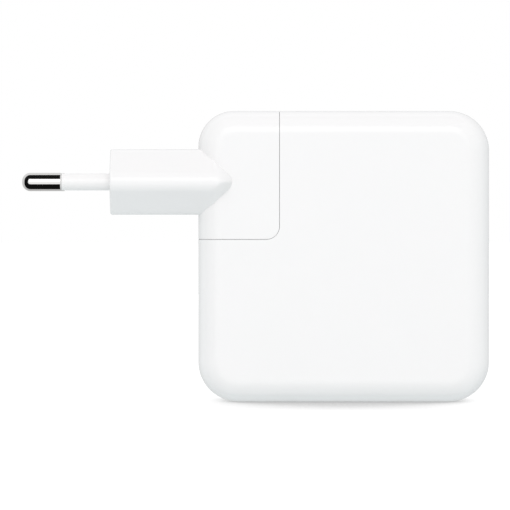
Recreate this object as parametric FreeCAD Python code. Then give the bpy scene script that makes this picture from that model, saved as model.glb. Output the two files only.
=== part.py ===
import FreeCAD, Part
import math
import os

# A compact laptop power adapter: a white square casing whose top left corner is a separate wall plug
# head that slides up and off. All lengths are millimetres. The origin is the centre of the casing's
# bottom face, +Z is up, the big face with nothing behind it looks to -Y, and the wall pins point to -X.

V = FreeCAD.Vector

# Casing
BODY_WIDTH = 63.5
BODY_HEIGHT = 63.5
BODY_DEPTH = 28.5
CORNER_RADIUS = 8.7
EDGE_RADIUS = 5.0
WALL = 2.0
LAP_HEIGHT = 0.8
LAP_WIDTH = 0.6
LAP_CLEARANCE = 0.1

# Corner recess and the plug head that fills it
HEAD_WIDTH = 17.7
HEAD_HEIGHT = 28.0
HEAD_CORNER_RADIUS = 7.75
RECESS_CORNER_RADIUS = 2.8
SEAM_GAP = 0.13
RECESS_WALL = 1.8
HEAD_WALL = 1.6
INNER_COVER_THICKNESS = 1.6

# Hexagonal barrel of the plug head
BARREL_DEPTH_TO_SHARP_RIDGE = 37.78
BARREL_HEIGHT = 14.3
BARREL_RIDGE_RADIUS = 3.0
BARREL_FLAT_EDGE_RADIUS = 0.8
BARREL_REACH = 19.2
BARREL_BELOW_TOP = 15.5
BARREL_WALL = 1.8
BARREL_END_WALL = 2.0
BARREL_END_FILLET = 0.45
RIDGE_END_INBOARD = 8.53
RIDGE_END_HALF_ANGLE = 41.7
RIDGE_END_RADIUS = 2.17
RIDGE_END_LEAST_RADIUS = 0.05
RIDGE_END_DRAFT = 27.0

# Wall pins
PIN_RADIUS = 2.0
PIN_PITCH = 19.0
PIN_REACH = 19.3
PIN_TIP_RADIUS = 1.8
PIN_CORE_RADIUS = 1.5
PIN_FLANGE_RADIUS = 2.6
PIN_FLANGE_THICKNESS = 1.2
SLEEVE_RADIUS = 1.84
SLEEVE_REACH = 10.7
CARRIER_LENGTH = 10.0

# Figure-eight inlet in the floor of the recess, and the nose of the head that plugs into it
INLET_PITCH = 8.6
INLET_CAVITY_RADIUS = 4.0
INLET_CAVITY_WAIST = 5.6
INLET_CAVITY_DEPTH = 9.4
INLET_CAVITY_FLOOR = 3.0
INLET_RIM = 1.4
INLET_FLANGE = 1.2
INLET_FLANGE_THICKNESS = 1.5
INLET_FROM_SIDE = 8.9
INLET_PIN_RADIUS = 1.2
INLET_PIN_BELOW_FLOOR = 1.0
INLET_PIN_TIP_RADIUS = 0.6
INLET_TAIL = 1.0
INLET_LEAD_THICKNESS = 0.6
INLET_LEAD_WIDTH = 2.4
INLET_LEAD_SPREAD = 3.6
INLET_LEAD_DROP = 1.0
NOSE_CLEARANCE = 0.3
NOSE_LENGTH = 8.6
NOSE_LIP = 0.6
NOSE_HOLE_CLEARANCE = 0.15
CONTACT_CLEARANCE = 0.05
CONTACT_WALL = 0.6
CONTACT_RISE = 1.3

# Locking stud and its slot
STUD_ABOVE_FLOOR = 12.0
STUD_NECK_RADIUS = 2.0
STUD_HEAD_RADIUS = 3.4
STUD_HEAD_THICKNESS = 1.0
STUD_HEAD_EDGE = 0.4
STUD_TAIL = 0.4
STUD_PLATE_SIZE = 13.0
STUD_PLATE_THICKNESS = 0.8
SLOT_CLEARANCE = 0.3
CLIP_THICKNESS = 0.6
CLIP_GAP = 0.2
POCKET_WALL = 1.0

# Bus bars of the head
STRAP_THICKNESS = 0.6
STRAP_WIDTH = 4.0
STRAP_BESIDE_AXIS = 7.5

# Output socket
PORT_WIDTH = 8.94
PORT_THICKNESS = 3.26
PORT_WALL = 0.3
PORT_LENGTH = 7.4
PORT_SETBACK = 0.3
PORT_HOLE_CLEARANCE = 0.1
TONGUE_WIDTH = 6.69
TONGUE_THICKNESS = 0.6
TONGUE_SETBACK = 0.9
TONGUE_EDGE = 0.2
TONGUE_ROOT = 2.0
PAD_COUNT = 12
PAD_PITCH = 0.5
PAD_WIDTH = 0.26
PAD_LENGTH = 3.4
PAD_THICKNESS = 0.05
PAD_TIP_MARGIN = 0.4

# Boards and what holds them
BOARD_THICKNESS = 1.6
BOARD_MARGIN = 2.25
BOARD_BELOW_INLET = 2.5
BOARD_BESIDE_STUD = 1.1
POST_RADIUS = 1.6
POST_FROM_EDGE = 3.0
FILM_THICKNESS = 0.3
FILM_MARGIN = 0.2
SPREADER_THICKNESS = 0.8
SPREADER_MARGIN = 1.5
HOLE_CLEARANCE = 0.1
USB_BOARD_THICKNESS = 1.0
USB_BOARD_HEIGHT = 21.0
USB_BOARD_FROM_WALL = 0.25
HEADER_WIDTH = 2.5
HEADER_HEIGHT = 18.0
HEADER_PIN_COUNT = 6
HEADER_PIN_PITCH = 2.54
HEADER_PIN_RADIUS = 0.35
HEADER_PIN_TAIL = 0.8
SUPPORT_WIDTH = 4.0
SUPPORT_HEIGHT = 3.0

# Components on the boards
PART_GAP = 1.2
FUSE_RADIUS = 4.1
FUSE_HEIGHT = 7.6
FUSE_EDGE = 0.6
VARISTOR_RADIUS = 4.5
VARISTOR_THICKNESS = 3.0
DISC_STANDOFF = 1.2
DISC_EDGE = 0.7
LEAD_RADIUS = 0.4
LEAD_PITCH = 5.0
X_CAPACITOR_WIDTH = 12.0
X_CAPACITOR_HEIGHT = 8.5
X_CAPACITOR_DEPTH = 11.0
Y_CAPACITOR_RADIUS = 3.4
Y_CAPACITOR_THICKNESS = 2.4
CHOKE_CORE_RADIUS = 5.8
CHOKE_HOLE_RADIUS = 3.0
CHOKE_CORE_HEIGHT = 6.0
CHOKE_WIRE = 0.9
CHOKE_WINDING_ANGLE = 130.0
BULK_RADIUS = 6.0
BULK_TO_SPREADER = 1.35
CAN_EDGE = 0.7
OUTPUT_CAP_RADIUS = 2.6
OUTPUT_CAP_HEIGHT = 8.0
OPTO_WIDTH = 4.4
OPTO_HEIGHT = 6.5
OPTO_DEPTH = 3.5
INDUCTOR_SIZE = 4.4
INDUCTOR_DEPTH = 4.2
CHIP_THICKNESS = 1.0
CHIP_PAD_THICKNESS = 0.35
POWER_STAGE_SIZE = 8.0
SYNC_RECTIFIER_SIZE = 5.5
PD_CONTROLLER_SIZE = 5.0
BRIDGE_WIDTH = 9.0
BRIDGE_HEIGHT = 7.0

# Transformer
CORE_WIDTH = 18.0
CORE_LIMB = 3.0
CORE_BACK = 3.0
CORE_CENTRE_RADIUS = 3.3
BOBBIN_WALL = 0.7
BOBBIN_FLANGE = 0.8
BOBBIN_FOOT = 1.6
WINDING_THICKNESS = 1.4
TAPE_THICKNESS = 0.3
TRANSFORMER_PAD_THICKNESS = 1.75

# Places worked out from the sizes above
left = -BODY_WIDTH / 2
right = BODY_WIDTH / 2
top = BODY_HEIGHT
front = -BODY_DEPTH / 2
back = BODY_DEPTH / 2
seam_x = left + HEAD_WIDTH
seam_z = top - HEAD_HEIGHT
recess_x = seam_x + SEAM_GAP
recess_z = seam_z - SEAM_GAP
recess_in_x = recess_x + RECESS_WALL
recess_in_z = recess_z - RECESS_WALL
in_left = left + WALL
in_right = right - WALL
in_bottom = WALL
in_top = top - WALL
in_front = front + WALL
in_back = back - WALL
past = BODY_WIDTH + BODY_HEIGHT + BODY_DEPTH
over = WALL / 2


def box(x0, x1, y0, y1, z0, z1):
    """A block between two corners."""
    return Part.makeBox(x1 - x0, y1 - y0, z1 - z0, V(x0, y0, z0))


def rod(radius, length, base, direction):
    """A cylinder that starts at base."""
    return Part.makeCylinder(radius, length, base, direction)


def tube(outer, inner, length, base, direction):
    """A round tube."""
    return rod(outer, length, base, direction).cut(rod(inner, length, base, direction))


def joined(first, *others):
    """One clean solid made of several that touch or overlap."""
    shape = first
    for other in others:
        shape = shape.fuse(other)
    return shape.removeSplitter()


def prism_y(points, y0, y1):
    """A polygon in the XZ plane, drawn out along Y."""
    corners = [V(x, y0, z) for x, z in points]
    face = Part.Face(Part.makePolygon(corners + corners[:1]))
    return face.extrude(V(0, y1 - y0, 0))


def edges_along(shape, direction, test):
    """Straight edges that run along a direction and pass a test on their midpoint."""
    found = []
    for edge in shape.Edges:
        ends = [vertex.Point for vertex in edge.Vertexes]
        if len(ends) == 2 and not isinstance(edge.Curve, Part.Circle):
            run = ends[1] - ends[0]
            if run.cross(direction).Length < 1e-6 * run.Length and test((ends[0] + ends[1]) / 2):
                found.append(edge)
    return found


def edges_in_plane(shape, axis, place):
    """Edges that lie in the plane where one coordinate has one value."""
    found = []
    for edge in shape.Edges:
        limits = edge.BoundBox
        low = (limits.XMin, limits.YMin, limits.ZMin)[axis]
        high = (limits.XMax, limits.YMax, limits.ZMax)[axis]
        if abs(low - place) < 1e-4 and abs(high - place) < 1e-4:
            found.append(edge)
    return found


def casing_block(inset, y0, y1):
    """The casing's rounded square outline, taken in by inset and drawn from y0 to y1."""
    low_x, high_x = left + inset, right - inset
    low_z, high_z = inset, top - inset
    corners = [(low_x, low_z, CORNER_RADIUS), (high_x, low_z, CORNER_RADIUS),
               (high_x, high_z, CORNER_RADIUS), (low_x, high_z, HEAD_CORNER_RADIUS)]
    block = box(low_x, high_x, y0, y1, low_z, high_z)
    for x, z, radius in corners:
        edge = edges_along(block, V(0, 1, 0), lambda point: abs(point.x - x) + abs(point.z - z) < 1e-4)
        block = block.makeFillet(radius - inset, edge)
    return block


def casing_form(inset):
    """The whole casing, taken in by inset, with its rounded edges round both big faces."""
    block = casing_block(inset, front + inset, back - inset)
    rims = edges_in_plane(block, 1, front + inset) + edges_in_plane(block, 1, back - inset)
    return block.makeFillet(EDGE_RADIUS - inset, rims)


def recess_prism(grow):
    """The corner region that the plug head fills, grown by a clearance or a wall."""
    x = seam_x + grow
    z = seam_z - grow
    region = box(left - past, x, -past, past, z, top + past)
    inner = edges_along(region, V(0, 1, 0), lambda point: abs(point.x - x) + abs(point.z - z) < 1e-4)
    return region.makeFillet(RECESS_CORNER_RADIUS + grow, inner)


# Casing halves

casing_outer = casing_form(0).cut(recess_prism(SEAM_GAP))
casing_inner = casing_form(WALL).cut(recess_prism(SEAM_GAP + RECESS_WALL))
casing_wall = casing_outer.cut(casing_inner)


def lap_ring(clearance):
    """The ring of the lap joint between the two halves, halfway through the wall."""
    outer = (WALL - LAP_WIDTH) / 2 - clearance
    inner = outer + LAP_WIDTH + 2 * clearance
    height = LAP_HEIGHT + clearance
    outside = casing_block(outer, 0, height).cut(recess_prism(SEAM_GAP + outer))
    inside = casing_block(inner, 0, height).cut(recess_prism(SEAM_GAP + inner))
    return outside.cut(inside)


inlet_x = left + INLET_FROM_SIDE
inlet_block_top = recess_z
inlet_cavity_bottom = recess_z - INLET_CAVITY_DEPTH
inlet_block_bottom = inlet_cavity_bottom - INLET_CAVITY_FLOOR
inlet_places = {"front": -INLET_PITCH / 2, "rear": INLET_PITCH / 2}


def figure_eight(grow, z0, z1):
    """Two round lobes and a waist, as the inlet's cavity and the nose have."""
    radius = INLET_CAVITY_RADIUS + grow
    waist = INLET_CAVITY_WAIST / 2 + grow
    lobes = [rod(radius, z1 - z0, V(inlet_x, y, z0), V(0, 0, 1)) for y in inlet_places.values()]
    bridge = box(inlet_x - waist, inlet_x + waist, -INLET_PITCH / 2, INLET_PITCH / 2, z0, z1)
    return joined(lobes[0], lobes[1], bridge)


def inlet_outline(grow, z0, z1):
    """The inlet block's own outline: a slot with round ends."""
    radius = INLET_CAVITY_RADIUS + INLET_RIM + grow
    ends = [rod(radius, z1 - z0, V(inlet_x, y, z0), V(0, 0, 1)) for y in inlet_places.values()]
    middle = box(inlet_x - radius, inlet_x + radius, -INLET_PITCH / 2, INLET_PITCH / 2, z0, z1)
    return joined(ends[0], ends[1], middle)


stud_z = seam_z + STUD_ABOVE_FLOOR
port_z = BODY_HEIGHT / 2
port_mouth = right - PORT_SETBACK


def port_slot(grow, x0, x1):
    """The output socket's slot with round ends, long side upright."""
    radius = PORT_THICKNESS / 2 + grow
    reach = PORT_WIDTH / 2 - PORT_THICKNESS / 2
    ends = [rod(radius, x1 - x0, V(x0, 0, z), V(1, 0, 0)) for z in (port_z - reach, port_z + reach)]
    middle = box(x0, x1, -radius, radius, port_z - reach, port_z + reach)
    return joined(ends[0], ends[1], middle)


casing_openings = [
    inlet_outline(0, recess_in_z - over, recess_z + over),
    rod(STUD_NECK_RADIUS, RECESS_WALL + 2 * over, V(recess_x - over, 0, stud_z), V(1, 0, 0)),
    port_slot(PORT_HOLE_CLEARANCE, in_right - over, right + over),
]

# The boards stand in the XZ plane, near the rear cover, and posts of both covers pinch the main one.
chip_pad_face = in_back - FILM_THICKNESS - SPREADER_THICKNESS
board_back = chip_pad_face - CHIP_PAD_THICKNESS - CHIP_THICKNESS
board_front = board_back - BOARD_THICKNESS
board_left = in_left + BOARD_MARGIN
board_right = in_right - BOARD_MARGIN
board_bottom = in_bottom + BOARD_MARGIN
board_top = in_top - BOARD_MARGIN
board_step_x = recess_in_x + STUD_PLATE_THICKNESS + STUD_TAIL + BOARD_BESIDE_STUD
board_step_z = inlet_block_bottom - BOARD_BELOW_INLET
posts = [
    (board_left + POST_FROM_EDGE, board_bottom + POST_FROM_EDGE),
    (board_right - POST_FROM_EDGE, board_bottom + POST_FROM_EDGE),
    (board_right - POST_FROM_EDGE, board_top - POST_FROM_EDGE),
    (board_step_x + POST_FROM_EDGE, board_top - POST_FROM_EDGE),
]


def post_rods(radius, y0, y1):
    """One rod at each post, from y0 to y1."""
    return [rod(radius, y1 - y0, V(x, y0, z), V(0, 1, 0)) for x, z in posts]


def make_covers():
    """Front and rear halves of the casing, with the lap joint on the middle plane."""
    front_half = casing_wall.common(box(-past, past, -past, 0, -past, past))
    rear_half = casing_wall.common(box(-past, past, 0, past, -past, past))
    front_half = joined(front_half, lap_ring(0), *post_rods(POST_RADIUS, in_front, board_front))
    rear_half = joined(rear_half, *post_rods(POST_RADIUS, board_back, in_back)).cut(lap_ring(LAP_CLEARANCE))
    for opening in casing_openings:
        front_half = front_half.cut(opening)
        rear_half = rear_half.cut(opening)
    return {"front_cover": front_half, "rear_cover": rear_half}


# Inlet, its pins and leads, and the stud

def make_inlet():
    """The inlet block sits in the recess floor on a flange that bears on the floor from below."""
    body = inlet_outline(0, inlet_block_bottom, inlet_block_top)
    flange = inlet_outline(INLET_FLANGE, recess_in_z - INLET_FLANGE_THICKNESS, recess_in_z)
    block = joined(body, flange).cut(figure_eight(0, inlet_cavity_bottom, inlet_block_top + over))
    pieces = {}
    pin_bottom = inlet_block_bottom - INLET_TAIL
    pin_top = recess_z - INLET_PIN_BELOW_FLOOR
    for side, y in inlet_places.items():
        shaft = rod(INLET_PIN_RADIUS, pin_top - pin_bottom, V(inlet_x, y, pin_bottom), V(0, 0, 1))
        tip = edges_in_plane(shaft, 2, pin_top)
        pieces["inlet_pin_" + side] = shaft.makeFillet(INLET_PIN_TIP_RADIUS, tip)
        block = block.cut(shaft)
    pieces["inlet_block"] = block
    pieces.update(make_inlet_leads(pin_bottom))
    return pieces


def make_inlet_leads(pin_bottom):
    """Strips from the two inlet pins back to the main board's front."""
    strip_top = pin_bottom - INLET_LEAD_DROP
    strip_bottom = strip_top - INLET_LEAD_THICKNESS
    tab_bottom = pin_bottom - INLET_LEAD_THICKNESS
    half = INLET_LEAD_WIDTH / 2
    pieces = {}
    for side, y in inlet_places.items():
        run_x = inlet_x - (INLET_LEAD_SPREAD if side == "front" else 0)
        y0 = y - half
        tab = box(inlet_x - half, inlet_x + half, y0, y + half, tab_bottom, pin_bottom)
        drop = box(inlet_x - half, inlet_x + half, y0, y0 + INLET_LEAD_THICKNESS, strip_bottom, pin_bottom)
        across = box(run_x - half, inlet_x + half, y0, y + half, strip_bottom, strip_top)
        run = box(run_x - half, run_x + half, y0, board_front, strip_bottom, strip_top)
        foot = box(run_x - half, run_x + half, board_front - INLET_LEAD_THICKNESS, board_front,
                   board_step_z - INLET_LEAD_WIDTH, strip_top)
        pieces["inlet_lead_" + side] = joined(tab, drop, across, run, foot)
    return pieces


def make_stud():
    """Mushroom stud through the recess wall, riveted to a plate behind it."""
    head_near = seam_x - INNER_COVER_THICKNESS - CLIP_THICKNESS - CLIP_GAP
    head_far = head_near - STUD_HEAD_THICKNESS
    tail_end = recess_in_x + STUD_PLATE_THICKNESS + STUD_TAIL
    neck = rod(STUD_NECK_RADIUS, tail_end - head_near, V(head_near, 0, stud_z), V(1, 0, 0))
    head = rod(STUD_HEAD_RADIUS, STUD_HEAD_THICKNESS, V(head_far, 0, stud_z), V(1, 0, 0))
    head = head.makeFillet(STUD_HEAD_EDGE, edges_in_plane(head, 0, head_far))
    half = STUD_PLATE_SIZE / 2
    plate = box(recess_in_x, recess_in_x + STUD_PLATE_THICKNESS, -half, half, stud_z - half, stud_z + half)
    stud = joined(neck, head)
    return {"lock_stud": stud, "stud_plate": plate.cut(stud)}


# Output socket

def make_port():
    """Steel shell, insulating tongue and gold contacts of the output socket."""
    inner_end = port_mouth - PORT_LENGTH
    shell = port_slot(0, inner_end, port_mouth)
    shell = shell.cut(port_slot(-PORT_WALL, inner_end + TONGUE_ROOT, port_mouth + over))
    tongue_tip = port_mouth - TONGUE_SETBACK
    root = port_slot(-PORT_WALL, inner_end + PORT_WALL, inner_end + TONGUE_ROOT)
    blade = box(inner_end + TONGUE_ROOT, tongue_tip, -TONGUE_THICKNESS / 2, TONGUE_THICKNESS / 2,
                port_z - TONGUE_WIDTH / 2, port_z + TONGUE_WIDTH / 2)
    blade = blade.makeFillet(TONGUE_EDGE, edges_in_plane(blade, 0, tongue_tip))
    shell = shell.cut(root)
    pads = []
    for index in range(PAD_COUNT):
        z = port_z + (index - (PAD_COUNT - 1) / 2) * PAD_PITCH
        for side in (-1, 1):
            near = side * TONGUE_THICKNESS / 2
            far = near + side * PAD_THICKNESS
            pads.append(box(tongue_tip - PAD_TIP_MARGIN - PAD_LENGTH, tongue_tip - PAD_TIP_MARGIN,
                            min(near, far), max(near, far), z - PAD_WIDTH / 2, z + PAD_WIDTH / 2))
    return {"usb_shell": shell, "usb_tongue": joined(root, blade), "usb_contacts": Part.makeCompound(pads)}


# Transformer

# It fills the room between the storage capacitors and the choke, and between the board and the front pad.
front_spreader_y = in_front + FILM_THICKNESS + SPREADER_THICKNESS
choke_z = board_top - POST_FROM_EDGE - POST_RADIUS - CHOKE_CORE_RADIUS - CHOKE_WIRE
bulk_z = board_bottom + PART_GAP + BULK_RADIUS
core_x0 = board_step_x + PART_GAP
core_x1 = core_x0 + CORE_WIDTH
core_z0 = bulk_z + BULK_RADIUS + 2 * PART_GAP
core_z1 = choke_z - CHOKE_CORE_RADIUS - CHOKE_WIRE - PART_GAP
core_x = (core_x0 + core_x1) / 2
core_z = (core_z0 + core_z1) / 2
core_y1 = board_front - BOBBIN_FOOT
core_y0 = front_spreader_y + TRANSFORMER_PAD_THICKNESS
core_y = (core_y0 + core_y1) / 2


def upright_rod(radius, z0, z1):
    """A cylinder on the transformer's winding axis."""
    return rod(radius, z1 - z0, V(core_x, core_y, z0), V(0, 0, 1))


def make_transformer():
    """Two E-shaped ferrite halves meet inside a bobbin that carries the winding and its tape."""
    pieces = {}
    for name, z0, z1, back_z0, back_z1 in (
        ("transformer_core_lower", core_z0, core_z, core_z0, core_z0 + CORE_BACK),
        ("transformer_core_upper", core_z, core_z1, core_z1 - CORE_BACK, core_z1),
    ):
        back_plate = box(core_x0, core_x1, core_y0, core_y1, back_z0, back_z1)
        limb_left = box(core_x0, core_x0 + CORE_LIMB, core_y0, core_y1, z0, z1)
        limb_right = box(core_x1 - CORE_LIMB, core_x1, core_y0, core_y1, z0, z1)
        pieces[name] = joined(back_plate, limb_left, limb_right, upright_rod(CORE_CENTRE_RADIUS, z0, z1))
    z0 = core_z0 + CORE_BACK
    z1 = core_z1 - CORE_BACK
    spool = CORE_CENTRE_RADIUS + BOBBIN_WALL
    flange = spool + WINDING_THICKNESS + TAPE_THICKNESS
    feet = []
    for low, high in ((z0, z0 + BOBBIN_FLANGE), (z1 - BOBBIN_FLANGE, z1)):
        feet.append(upright_rod(flange, low, high))
        feet.append(box(core_x - flange, core_x + flange, core_y, board_front, low, high))
    bobbin = joined(upright_rod(spool, z0, z1), *feet).cut(upright_rod(CORE_CENTRE_RADIUS, z0, z1))
    low = z0 + BOBBIN_FLANGE
    high = z1 - BOBBIN_FLANGE
    wound = spool + WINDING_THICKNESS
    pieces["transformer_bobbin"] = bobbin
    pieces["transformer_winding"] = upright_rod(wound, low, high).cut(upright_rod(spool, low, high))
    pieces["transformer_tape"] = upright_rod(flange, low, high).cut(upright_rod(wound, low, high))
    return pieces


# Boards, films and heat spreaders

usb_board_front = PORT_THICKNESS / 2
usb_board_back = usb_board_front + USB_BOARD_THICKNESS
usb_board_left = core_x1 + 2 * PART_GAP
usb_board_right = in_right - USB_BOARD_FROM_WALL
usb_board_z0 = port_z - USB_BOARD_HEIGHT / 2
usb_board_z1 = port_z + USB_BOARD_HEIGHT / 2
header_x0 = usb_board_left + PART_GAP
header_x1 = header_x0 + HEADER_WIDTH
support_x0 = board_right - SUPPORT_WIDTH


def make_boards():
    """The L-shaped main board, the small board of the output socket, and what joins them."""
    outline = [
        (board_left, board_bottom), (board_right, board_bottom), (board_right, board_top),
        (board_step_x, board_top), (board_step_x, board_step_z), (board_left, board_step_z),
    ]
    main = prism_y(outline, board_front, board_back)
    small = box(usb_board_left, usb_board_right, usb_board_front, usb_board_back, usb_board_z0, usb_board_z1)
    header = box(header_x0, header_x1, usb_board_back, board_front,
                 port_z - HEADER_HEIGHT / 2, port_z + HEADER_HEIGHT / 2)
    pins = []
    for index in range(HEADER_PIN_COUNT):
        z = port_z + (index - (HEADER_PIN_COUNT - 1) / 2) * HEADER_PIN_PITCH
        base = V((header_x0 + header_x1) / 2, usb_board_front - HEADER_PIN_TAIL, z)
        length = board_back + HEADER_PIN_TAIL - base.y
        pins.append(rod(HEADER_PIN_RADIUS, length, base, V(0, 1, 0)))
    pin_group = Part.makeCompound(pins)
    supports = []
    for z in (usb_board_z0, usb_board_z1 - SUPPORT_HEIGHT):
        supports.append(box(support_x0, board_right, usb_board_back, board_front, z, z + SUPPORT_HEIGHT))
    return {
        "main_board": main.cut(pin_group),
        "usb_board": small.cut(pin_group),
        "header_block": header.cut(pin_group),
        "header_pins": pin_group,
        "usb_support": Part.makeCompound(supports),
    }


def make_films_and_spreaders():
    """Insulating films on both big inner faces, metal spreaders on them, and soft heat pads."""
    corner = recess_prism(SEAM_GAP + RECESS_WALL + FILM_MARGIN)
    front_film = casing_block(EDGE_RADIUS + FILM_MARGIN, in_front, in_front + FILM_THICKNESS).cut(corner)
    rear_film = casing_block(EDGE_RADIUS + FILM_MARGIN, in_back - FILM_THICKNESS, in_back).cut(corner)
    for hole in post_rods(POST_RADIUS + HOLE_CLEARANCE, front, back):
        front_film = front_film.cut(hole)
        rear_film = rear_film.cut(hole)
    x0 = core_x0
    x1 = board_right - POST_FROM_EDGE - POST_RADIUS - SPREADER_MARGIN
    z0 = board_bottom + SPREADER_MARGIN
    z1 = core_z1 + SPREADER_MARGIN
    front_spreader = box(x0, x1, in_front + FILM_THICKNESS, front_spreader_y, z0, z1)
    rear_spreader = box(x0, x1, chip_pad_face, in_back - FILM_THICKNESS, z0, z1)
    transformer_pad = box(core_x0, core_x1, front_spreader_y, core_y0, core_z0, core_z1)
    return {
        "front_film": front_film, "rear_film": rear_film, "front_spreader": front_spreader,
        "rear_spreader": rear_spreader, "transformer_pad": transformer_pad,
    }


# Components

def make_mains_side():
    """Fuse, varistor, X capacitor, choke and bridge rectifier."""
    fuse_x = board_left + POST_FROM_EDGE + POST_RADIUS + PART_GAP / 2 + FUSE_RADIUS
    fuse_z = board_step_z - INLET_LEAD_WIDTH - PART_GAP / 2 - FUSE_RADIUS
    fuse = rod(FUSE_RADIUS, FUSE_HEIGHT, V(fuse_x, board_front - FUSE_HEIGHT, fuse_z), V(0, 1, 0))
    fuse = fuse.makeFillet(FUSE_EDGE, edges_in_plane(fuse, 1, board_front - FUSE_HEIGHT))

    varistor_x = core_x0 - PART_GAP / 2 - VARISTOR_THICKNESS
    varistor_z = board_bottom + PART_GAP / 2 + VARISTOR_RADIUS
    varistor_y = board_front - DISC_STANDOFF - VARISTOR_RADIUS
    varistor = disc_on_leads(varistor_x, varistor_y, varistor_z, VARISTOR_RADIUS, VARISTOR_THICKNESS)

    x_capacitor_x1 = board_right - PART_GAP
    x_capacitor_z1 = board_top - POST_FROM_EDGE - POST_RADIUS - PART_GAP / 2
    x_capacitor = box(x_capacitor_x1 - X_CAPACITOR_WIDTH, x_capacitor_x1,
                      board_front - X_CAPACITOR_DEPTH, board_front,
                      x_capacitor_z1 - X_CAPACITOR_HEIGHT, x_capacitor_z1)

    y_capacitor_x = x_capacitor_x1 - X_CAPACITOR_WIDTH - PART_GAP / 2 - Y_CAPACITOR_THICKNESS
    y_capacitor_z = x_capacitor_z1 - X_CAPACITOR_HEIGHT / 2
    y_capacitor_y = board_front - DISC_STANDOFF - Y_CAPACITOR_RADIUS
    y_capacitor = disc_on_leads(y_capacitor_x, y_capacitor_y, y_capacitor_z,
                                Y_CAPACITOR_RADIUS, Y_CAPACITOR_THICKNESS)

    bridge_x1 = core_x0 - PART_GAP
    bridge = box(bridge_x1 - BRIDGE_WIDTH, bridge_x1, board_back, chip_pad_face,
                 bulk_z - BRIDGE_HEIGHT / 2, bulk_z + BRIDGE_HEIGHT / 2)
    pieces = {
        "fuse": fuse, "varistor": varistor, "x_capacitor": x_capacitor, "y_capacitor": y_capacitor,
        "bridge_rectifier": bridge,
    }
    pieces.update(make_choke())
    return pieces


def disc_on_leads(x, y, z, radius, thickness):
    """A coated disc that stands on two wire leads, facing along X."""
    disc = rod(radius, thickness, V(x, y, z), V(1, 0, 0))
    rims = edges_in_plane(disc, 0, x) + edges_in_plane(disc, 0, x + thickness)
    disc = disc.makeFillet(DISC_EDGE, rims)
    legs = []
    for side in (-1, 1):
        base = V(x + thickness / 2, y, z + side * LEAD_PITCH / 2)
        legs.append(rod(LEAD_RADIUS, board_front - y, base, V(0, 1, 0)))
    return joined(disc, *legs)


def make_choke():
    """A ring core that lies on the board, with a winding on each half."""
    x = board_step_x + PART_GAP + CHOKE_CORE_RADIUS + CHOKE_WIRE
    z = choke_z
    y1 = board_front - CHOKE_WIRE
    y0 = y1 - CHOKE_CORE_HEIGHT
    axis = V(0, 1, 0)
    core = tube(CHOKE_CORE_RADIUS, CHOKE_HOLE_RADIUS, CHOKE_CORE_HEIGHT, V(x, y0, z), axis)
    height = CHOKE_CORE_HEIGHT + 2 * CHOKE_WIRE
    windings = []
    for middle in (0, 180):
        start = V(x, y0 - CHOKE_WIRE, z)
        outer = Part.makeCylinder(CHOKE_CORE_RADIUS + CHOKE_WIRE, height, start, axis, CHOKE_WINDING_ANGLE)
        outer.rotate(start, axis, middle - CHOKE_WINDING_ANGLE / 2)
        hole = rod(CHOKE_HOLE_RADIUS - CHOKE_WIRE, height, start, axis)
        windings.append(outer.cut(hole).cut(core))
    return {"choke_core": core, "choke_windings": Part.makeCompound(windings)}


def make_low_voltage_side():
    """Storage and output capacitors, chips, optocoupler and output inductor."""
    pieces = {}
    bulk_x = core_x0 + BULK_RADIUS
    for name in ("bulk_capacitor_left", "bulk_capacitor_right"):
        pieces[name] = can(bulk_x, bulk_z, BULK_RADIUS, front_spreader_y + BULK_TO_SPREADER, board_front)
        bulk_x += 2 * BULK_RADIUS + PART_GAP / 2
    cap_x = header_x1 + PART_GAP / 2 + OUTPUT_CAP_RADIUS
    beside_port = PORT_WIDTH / 2 + PART_GAP / 2 + OUTPUT_CAP_RADIUS
    cap_end = usb_board_front - OUTPUT_CAP_HEIGHT
    cans = []
    for z in (port_z - beside_port, port_z + beside_port):
        cans.append(can(cap_x, z, OUTPUT_CAP_RADIUS, cap_end, usb_board_front))
    pieces["output_capacitors"] = Part.makeCompound(cans)

    opto_x0 = header_x1 + PART_GAP / 2
    opto_z1 = port_z - PART_GAP / 2
    inductor_z0 = port_z + PART_GAP / 2
    pieces["optocoupler"] = box(opto_x0, opto_x0 + OPTO_WIDTH, board_front - OPTO_DEPTH, board_front,
                                opto_z1 - OPTO_HEIGHT, opto_z1)
    pieces["output_inductor"] = box(opto_x0, opto_x0 + INDUCTOR_SIZE, board_front - INDUCTOR_DEPTH,
                                    board_front, inductor_z0, inductor_z0 + INDUCTOR_SIZE)

    chips = {
        "power_stage": (core_x, bulk_z, POWER_STAGE_SIZE),
        "sync_rectifier": (core_x, core_z, SYNC_RECTIFIER_SIZE),
        "pd_controller": (core_x1, core_z, PD_CONTROLLER_SIZE),
    }
    pads = []
    for name, (x, z, size) in chips.items():
        near = board_back + CHIP_THICKNESS
        pieces[name] = box(x - size / 2, x + size / 2, board_back, near, z - size / 2, z + size / 2)
        pads.append(box(x - size / 2, x + size / 2, near, chip_pad_face, z - size / 2, z + size / 2))
    pieces["chip_pads"] = Part.makeCompound(pads)
    return pieces


def can(x, z, radius, y0, y1):
    """A round can that stands on a board, with its rounded end to the front."""
    body = rod(radius, y1 - y0, V(x, y0, z), V(0, 1, 0))
    return body.makeFillet(CAN_EDGE, edges_in_plane(body, 1, y0))


# Plug head

barrel_z = top - BARREL_BELOW_TOP
barrel_end = left - BARREL_REACH
pin_places = {"front": -PIN_PITCH / 2, "rear": PIN_PITCH / 2}


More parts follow.
